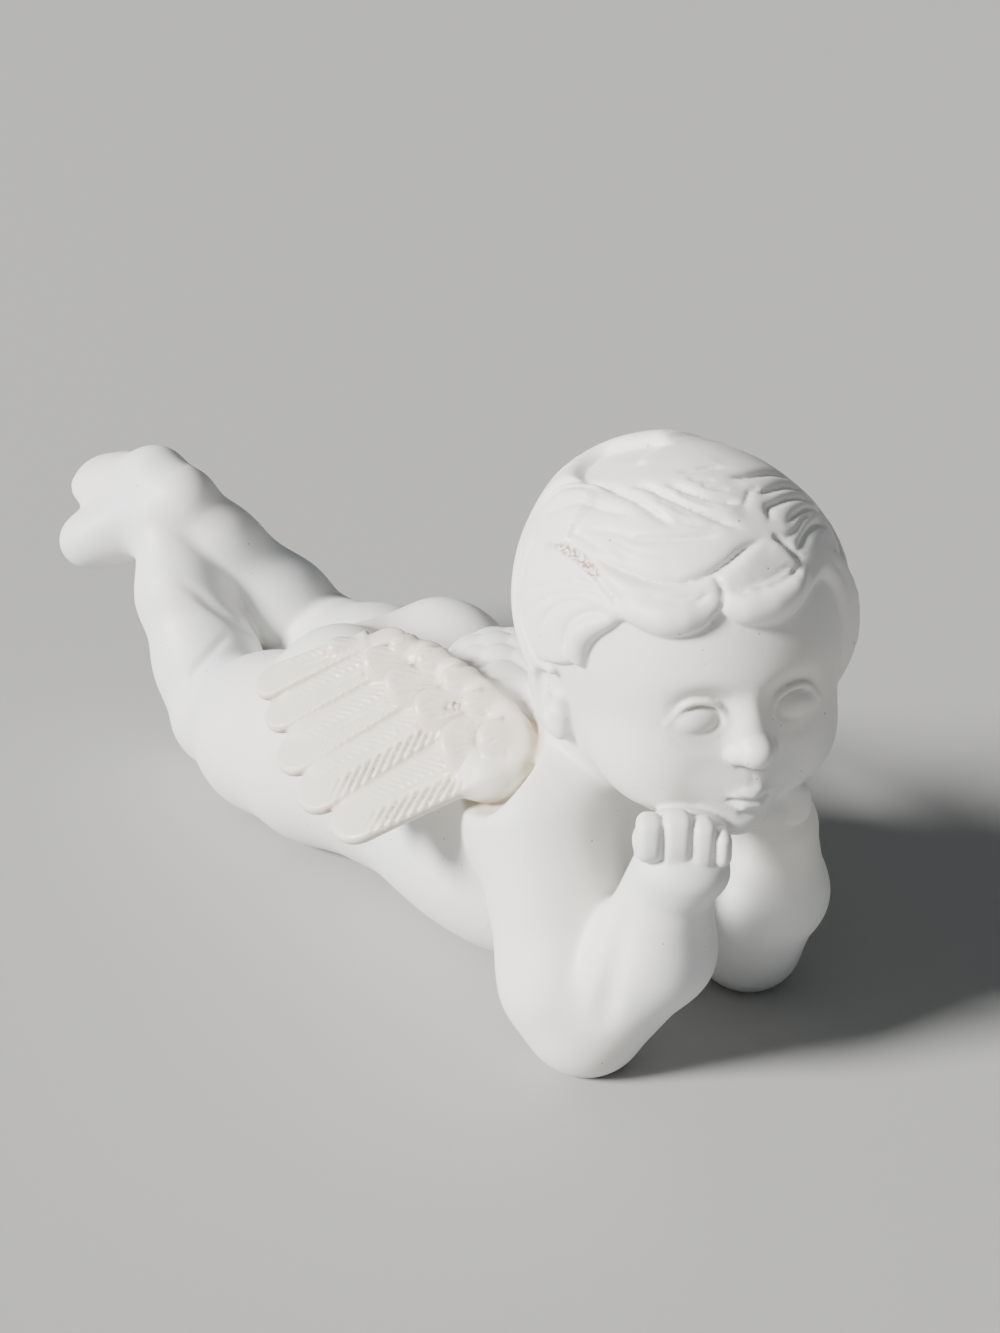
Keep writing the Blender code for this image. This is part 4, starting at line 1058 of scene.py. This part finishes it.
# Colours of the casting
BODY_WHITE = (0.84, 0.825, 0.78, 1.0)
BODY_COOL = (0.77, 0.785, 0.79, 1.0)
HAIR_WHITE = (0.88, 0.865, 0.835, 1.0)
WING_CREAM = (0.78, 0.735, 0.64, 1.0)
# Painted shade: the grey laid into the hollows and creases of the body and hair
HOLLOW_SHADE_GREY = (0.56, 0.53, 0.48, 1.0)
# Tan of the wings' hollows: real dirt, and painted shade that darkens them too
WING_TAN_DIRT_AND_SHADE = (0.50, 0.40, 0.29, 1.0)
STAIN_BROWN = (0.36, 0.21, 0.10, 1.0)
SPECK_GREY = (0.20, 0.18, 0.16, 1.0)

# Noise of the finish: scale and detail
CLOUDS = (28.0, 3.0)
GRAIN = (900.0, 2.0)
# Noise that breaks up the painted shade in the hollows
HOLLOW_SHADE_NOISE = (140.0, 4.0)
# Noise that breaks up the tan dirt and painted shade in the wings' hollows
WING_DIRT_AND_SHADE_NOISE = (90.0, 4.0)
STAIN_PATCHES = (1100.0, 2.0)
GLOSS_PATCHES = (45.0, 3.0)
# Dots: cells in a metre, size in a cell, and share of the cells that have one
SPECKS = (210.0, 0.075, 0.30)
PITS = (420.0, 0.10, 0.10)
# Share of each layer of colour at its fullest
HAIR_SHARE = 0.8
HOLLOW_SHADE_SHARE = 0.42
STAIN_SHARE = 0.85
SPECK_SHARE = 0.75
PIT_SHARE = 0.45
# Roughness of the cast, what gloss takes off it and what it gains in the hollows that carry painted shade
ROUGHNESS = (0.46, 0.54)
GLOSS_DEPTH = 0.22
HOLLOW_SHADE_ROUGHNESS = 0.15
# Relief of the finish: the grain's height and the specks' depth as shares of a pit's, and that in metres
GRAIN_HEIGHT = 0.12
SPECK_HEIGHT = 0.6
PIT_DEPTH = 0.0002

# Floor: colour and half width in metres; way to the window, its strength, the degrees that it spans and its
# colour; strength and colour of the light all round
FLOOR_GREY = (0.40, 0.40, 0.39, 1.0)
FLOOR_HALF = 30.0
WINDOW_WAY = (-0.84, 0.23, 0.48)
WINDOW_STRENGTH = 9.8
WINDOW_SPREAD = 16.0
WINDOW_COLOUR = (1.0, 0.985, 0.96)
ROOM_STRENGTH = 0.2
ROOM_COLOUR = (0.82, 0.87, 0.92, 1.0)

# The stain lies in a groove of the hair: longitudes and latitudes, its width and its lift over the skull
STAIN = [(86, 32.5), (80, 34.8), (72, 35.4), (64, 34.6), (58, 32.2)]
STAIN_WIDTH = 2.2
STAIN_LIFT = 1.8

# Grid of the sculpt, in millimetres, and the triangles of the finished piece
SCULPT_LOW = (-85, -62, -4)
SCULPT_HIGH = (85, 290, 154)
SCULPT_STEP = 0.62
TRIANGLES = 196000
# Metres by which the piece stays inside the solid's box
BOX_MARGIN = 0.00001

# The photo's camera on the sculpt's grid: place, then heading and fall in degrees, and its focal length
CAMERA_PLACE = np.array([-254.6, -246.2, 236.7])
CAMERA_HEADING = -38.6
CAMERA_FALL = 22.5
FOCAL_PIXELS = 1700.0
IMAGE_HEIGHT = 1333
SENSOR = 36.0


def masks(points):
    """Where the wings, the hair, the hollows and the stain are, 0 to 1 at each point."""
    def wings(clay):
        for side in (-1, 1):
            feathers(clay, side)

    def cover(part, reach):
        return np.clip(1 - (value(part, points) - 0.3) / reach, 0, 1)

    cavity = np.zeros(len(points))
    normals = slopes(sculpt, points, 0.4)
    for reach in (1.2, 3.0):
        cavity += 0.5 * np.clip(1 - value(sculpt, points + normals * reach) / reach, 0, 1)
    spots = on_skull(smooth_path(STAIN, 24), STAIN_LIFT)
    stain = np.min([np.linalg.norm(points - spot, axis=1) for spot in spots], axis=0)
    return {
        "wing": cover(wings, 2.5),
        "hair": cover(hair, 1.0),
        "cavity": cavity,
        "stain": np.clip(1 - stain / STAIN_WIDTH, 0, 1),
    }


def quad_mesh(name, points, quads):
    """A mesh straight from the arrays."""
    mesh = bpy.data.meshes.new(name)
    mesh.vertices.add(len(points))
    mesh.vertices.foreach_set("co", points.astype(np.float32).ravel())
    mesh.loops.add(len(quads) * 4)
    mesh.loops.foreach_set("vertex_index", quads.astype(np.int32).ravel())
    mesh.polygons.add(len(quads))
    mesh.polygons.foreach_set("loop_start", np.arange(len(quads), dtype=np.int32) * 4)
    mesh.update(calc_edges=True)
    return mesh


def linked(name, data):
    """A new object in the scene."""
    obj = bpy.data.objects.new(name, data)
    bpy.context.scene.collection.objects.link(obj)
    return obj


def largest_part(points, quads):
    """The skin without the small closed pockets inside the figure."""
    label = np.arange(len(points))
    while True:
        lower = label.copy()
        np.minimum.at(lower, quads.ravel(), np.repeat(label[quads].min(axis=1), 4))
        lower = lower[lower]
        if np.array_equal(lower, label):
            break
        label = lower
    kept = quads[label[quads[:, 0]] == np.bincount(label).argmax()]
    used, places = np.unique(kept, return_inverse=True)
    return points[used], places.reshape(kept.shape)


def thinned(mesh, triangles):
    """The mesh with its flat parts in fewer triangles."""
    obj = linked(mesh.name, mesh)
    fewer = obj.modifiers.new("fewer", "DECIMATE")
    fewer.ratio = triangles / (2 * len(mesh.polygons))
    fewer.use_collapse_triangulate = True
    result = bpy.data.meshes.new_from_object(obj.evaluated_get(bpy.context.evaluated_depsgraph_get()))
    bpy.data.objects.remove(obj)
    return result


def figurine(box):
    """The finished piece fitted into the box, and what places a spot of the sculpt's grid in the frame."""
    points, quads = largest_part(*skin(sculpt, SCULPT_LOW, SCULPT_HIGH, SCULPT_STEP))
    mesh = thinned(quad_mesh("cherub", points, quads), TRIANGLES)
    points = np.empty(len(mesh.vertices) * 3, np.float32)
    mesh.vertices.foreach_get("co", points)
    points = points.reshape(-1, 3).astype(float)
    low, high = np.array(box[0]) + BOX_MARGIN, np.array(box[1]) - BOX_MARGIN
    low[2] = box[0][2]
    start, span = points.min(axis=0), np.ptp(points, axis=0)

    def placed(spots):
        return low + (np.asarray(spots) - start) * (high - low) / span

    for name, amount in masks(points).items():
        layer = mesh.attributes.new(name, "FLOAT", "POINT")
        layer.data.foreach_set("value", amount.astype(np.float32))
    mesh.vertices.foreach_set("co", placed(points).astype(np.float32).ravel())
    mesh.shade_smooth()
    mesh.update()
    piece = linked("cherub", mesh)
    piece.data.materials.append(bisque())
    return piece, placed


class Nodes:
    """A material's node tree, built by short calls."""

    def __init__(self, name):
        self.material = bpy.data.materials.new(name)
        self.material.use_nodes = True
        self.tree = self.material.node_tree
        self.shader = self.tree.nodes["Principled BSDF"]

    def make(self, kind, **settings):
        node = self.tree.nodes.new(kind)
        for key, setting in settings.items():
            setattr(node, key, setting)
        return node

    def put(self, socket, source):
        if isinstance(source, bpy.types.NodeSocket):
            self.tree.links.new(source, socket)
        else:
            socket.default_value = source

    def attribute(self, name):
        return self.make("ShaderNodeAttribute", attribute_name=name).outputs["Fac"]

    def place(self):
        return self.make("ShaderNodeTexCoord").outputs["Object"]

    def noise(self, scale, detail):
        node = self.make("ShaderNodeTexNoise")
        self.put(node.inputs["Vector"], self.place())
        node.inputs["Scale"].default_value = scale
        node.inputs["Detail"].default_value = detail
        node.inputs["Roughness"].default_value = 0.55
        return node.outputs["Fac"]

    def ramp(self, source, low, high, to_low=0.0, to_high=1.0):
        node = self.make("ShaderNodeMapRange")
        node.interpolation_type = "SMOOTHSTEP"
        self.put(node.inputs["Value"], source)
        ends = {"From Min": low, "From Max": high, "To Min": to_low, "To Max": to_high}
        for name, number in ends.items():
            node.inputs[name].default_value = number
        return node.outputs["Result"]

    def math(self, operation, a, b):
        node = self.make("ShaderNodeMath", operation=operation)
        self.put(node.inputs[0], a)
        self.put(node.inputs[1], b)
        return node.outputs[0]

    def times(self, a, b):
        return self.math("MULTIPLY", a, b)

    def mix(self, factor, a, b):
        node = self.make("ShaderNodeMix", data_type="RGBA")
        self.put(node.inputs["Factor"], factor)
        self.put(node.inputs["A"], a)
        self.put(node.inputs["B"], b)
        return node.outputs["Result"]

    def dots(self, scale, size, share):
        """Scattered dots: one in some of the cells of the given scale, 1 inside."""
        node = self.make("ShaderNodeTexVoronoi", feature="F1")
        self.put(node.inputs["Vector"], self.place())
        node.inputs["Scale"].default_value = scale
        inside = self.ramp(node.outputs["Distance"], size, size * 0.5)
        split = self.make("ShaderNodeSeparateColor")
        self.put(split.inputs["Color"], node.outputs["Color"])
        chosen = self.math("LESS_THAN", split.outputs["Red"], share)
        return self.times(inside, chosen)


def bisque():
    """Cool white cast with creamier wings, painted grey shade in the hollows, tan dirt and painted shade in
    the wings' hollows, one brown stain, specks and pits.
    """
    n = Nodes("white_bisque")
    wings, locks, hollow = n.attribute("wing"), n.attribute("hair"), n.attribute("cavity")
    cloud = n.noise(*CLOUDS)
    grain = n.noise(*GRAIN)
    # Painted shade: greyer where the cavity map finds hollows and creases, broken up by noise
    hollow_shade = n.times(n.ramp(hollow, 0.32, 0.8), n.ramp(n.noise(*HOLLOW_SHADE_NOISE), 0.3, 0.65, 0.35, 1.0))
    # Tan in the wings' hollows from the cavity map: partly real dirt, partly painted shade
    wing_dirt_and_shade = n.times(n.ramp(hollow, 0.2, 0.62), wings)
    wing_dirt_and_shade = n.times(wing_dirt_and_shade, n.ramp(n.noise(*WING_DIRT_AND_SHADE_NOISE), 0.35, 0.7, 0.35, 0.85))
    patchy = n.ramp(n.noise(*STAIN_PATCHES), 0.44, 0.54)
    stain = n.times(n.ramp(n.attribute("stain"), 0.15, 0.75), patchy)
    speck = n.dots(*SPECKS)
    pit = n.dots(*PITS)
    colour = n.mix(n.ramp(cloud, 0.35, 0.7), BODY_WHITE, BODY_COOL)
    layers = [
        (n.times(locks, HAIR_SHARE), HAIR_WHITE),
        (wings, WING_CREAM),
        (n.times(hollow_shade, HOLLOW_SHADE_SHARE), HOLLOW_SHADE_GREY),
        (wing_dirt_and_shade, WING_TAN_DIRT_AND_SHADE),
        (n.times(stain, STAIN_SHARE), STAIN_BROWN),
        (n.times(speck, SPECK_SHARE), SPECK_GREY),
        (n.times(pit, PIT_SHARE), SPECK_GREY),
    ]
    for share, layer in layers:
        colour = n.mix(share, colour, layer)
    n.put(n.shader.inputs["Base Color"], colour)
    gloss = n.math("MAXIMUM", n.times(locks, 0.9), n.times(wings, 0.7))
    gloss = n.times(gloss, n.ramp(n.noise(*GLOSS_PATCHES), 0.4, 0.62))
    roughness = n.ramp(cloud, 0.3, 0.7, *ROUGHNESS)
    roughness = n.math("SUBTRACT", roughness, n.times(gloss, GLOSS_DEPTH))
    n.put(n.shader.inputs["Roughness"], n.math("ADD", roughness, n.times(hollow_shade, HOLLOW_SHADE_ROUGHNESS)))
    n.shader.inputs["IOR"].default_value = 1.5
    n.shader.inputs["Specular IOR Level"].default_value = 0.5
    holes = n.math("ADD", n.times(speck, SPECK_HEIGHT), pit)
    bump = n.make("ShaderNodeBump")
    bump.inputs["Strength"].default_value = 0.35
    bump.inputs["Distance"].default_value = PIT_DEPTH
    n.put(bump.inputs["Height"], n.math("SUBTRACT", n.times(grain, GRAIN_HEIGHT), holes))
    n.put(n.shader.inputs["Normal"], bump.outputs["Normal"])
    return n.material


def floor():
    """A broad pale plane at the ground."""
    mesh = bpy.data.meshes.new("floor")
    corners = [(x * FLOOR_HALF, y * FLOOR_HALF, 0) for x, y in ((-1, -1), (1, -1), (1, 1), (-1, 1))]
    mesh.from_pydata(corners, [], [(0, 1, 2, 3)])
    n = Nodes("pale_floor")
    n.shader.inputs["Base Color"].default_value = FLOOR_GREY
    n.shader.inputs["Roughness"].default_value = 0.9
    mesh.materials.append(n.material)
    return linked("floor", mesh)


def lights():
    """A broad soft window from the figure's right, and pale light from all round."""
    window = bpy.data.lights.new("window", "SUN")
    window.energy = WINDOW_STRENGTH
    window.angle = math.radians(WINDOW_SPREAD)
    window.color = WINDOW_COLOUR
    obj = linked("window", window)
    obj.rotation_euler = (-Vector(WINDOW_WAY)).to_track_quat("-Z", "Y").to_euler()
    world = bpy.data.worlds.new("studio")
    world.use_nodes = True
    room = world.node_tree.nodes["Background"]
    room.inputs["Color"].default_value = ROOM_COLOUR
    room.inputs["Strength"].default_value = ROOM_STRENGTH
    bpy.context.scene.world = world


def camera(placed):
    heading, fall = math.radians(CAMERA_HEADING), math.radians(CAMERA_FALL)
    level = math.cos(fall)
    way = Vector((-math.sin(heading) * level, math.cos(heading) * level, -math.sin(fall)))
    data = bpy.data.cameras.new("camera")
    data.lens = FOCAL_PIXELS * SENSOR / IMAGE_HEIGHT
    data.sensor_width = SENSOR
    obj = linked("camera", data)
    obj.location = placed(CAMERA_PLACE)
    obj.rotation_euler = way.to_track_quat("-Z", "Y").to_euler()
    bpy.context.scene.camera = obj


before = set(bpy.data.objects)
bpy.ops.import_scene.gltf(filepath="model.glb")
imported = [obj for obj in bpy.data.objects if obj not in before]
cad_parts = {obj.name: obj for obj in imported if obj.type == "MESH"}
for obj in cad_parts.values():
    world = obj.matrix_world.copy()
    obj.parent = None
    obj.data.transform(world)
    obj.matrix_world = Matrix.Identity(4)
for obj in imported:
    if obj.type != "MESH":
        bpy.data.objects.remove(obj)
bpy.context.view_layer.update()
cherub, placed = figurine(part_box("cherub_figurine"))
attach(cherub, "root")
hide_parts("cherub_figurine")
floor()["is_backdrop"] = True
lights()
camera(placed)
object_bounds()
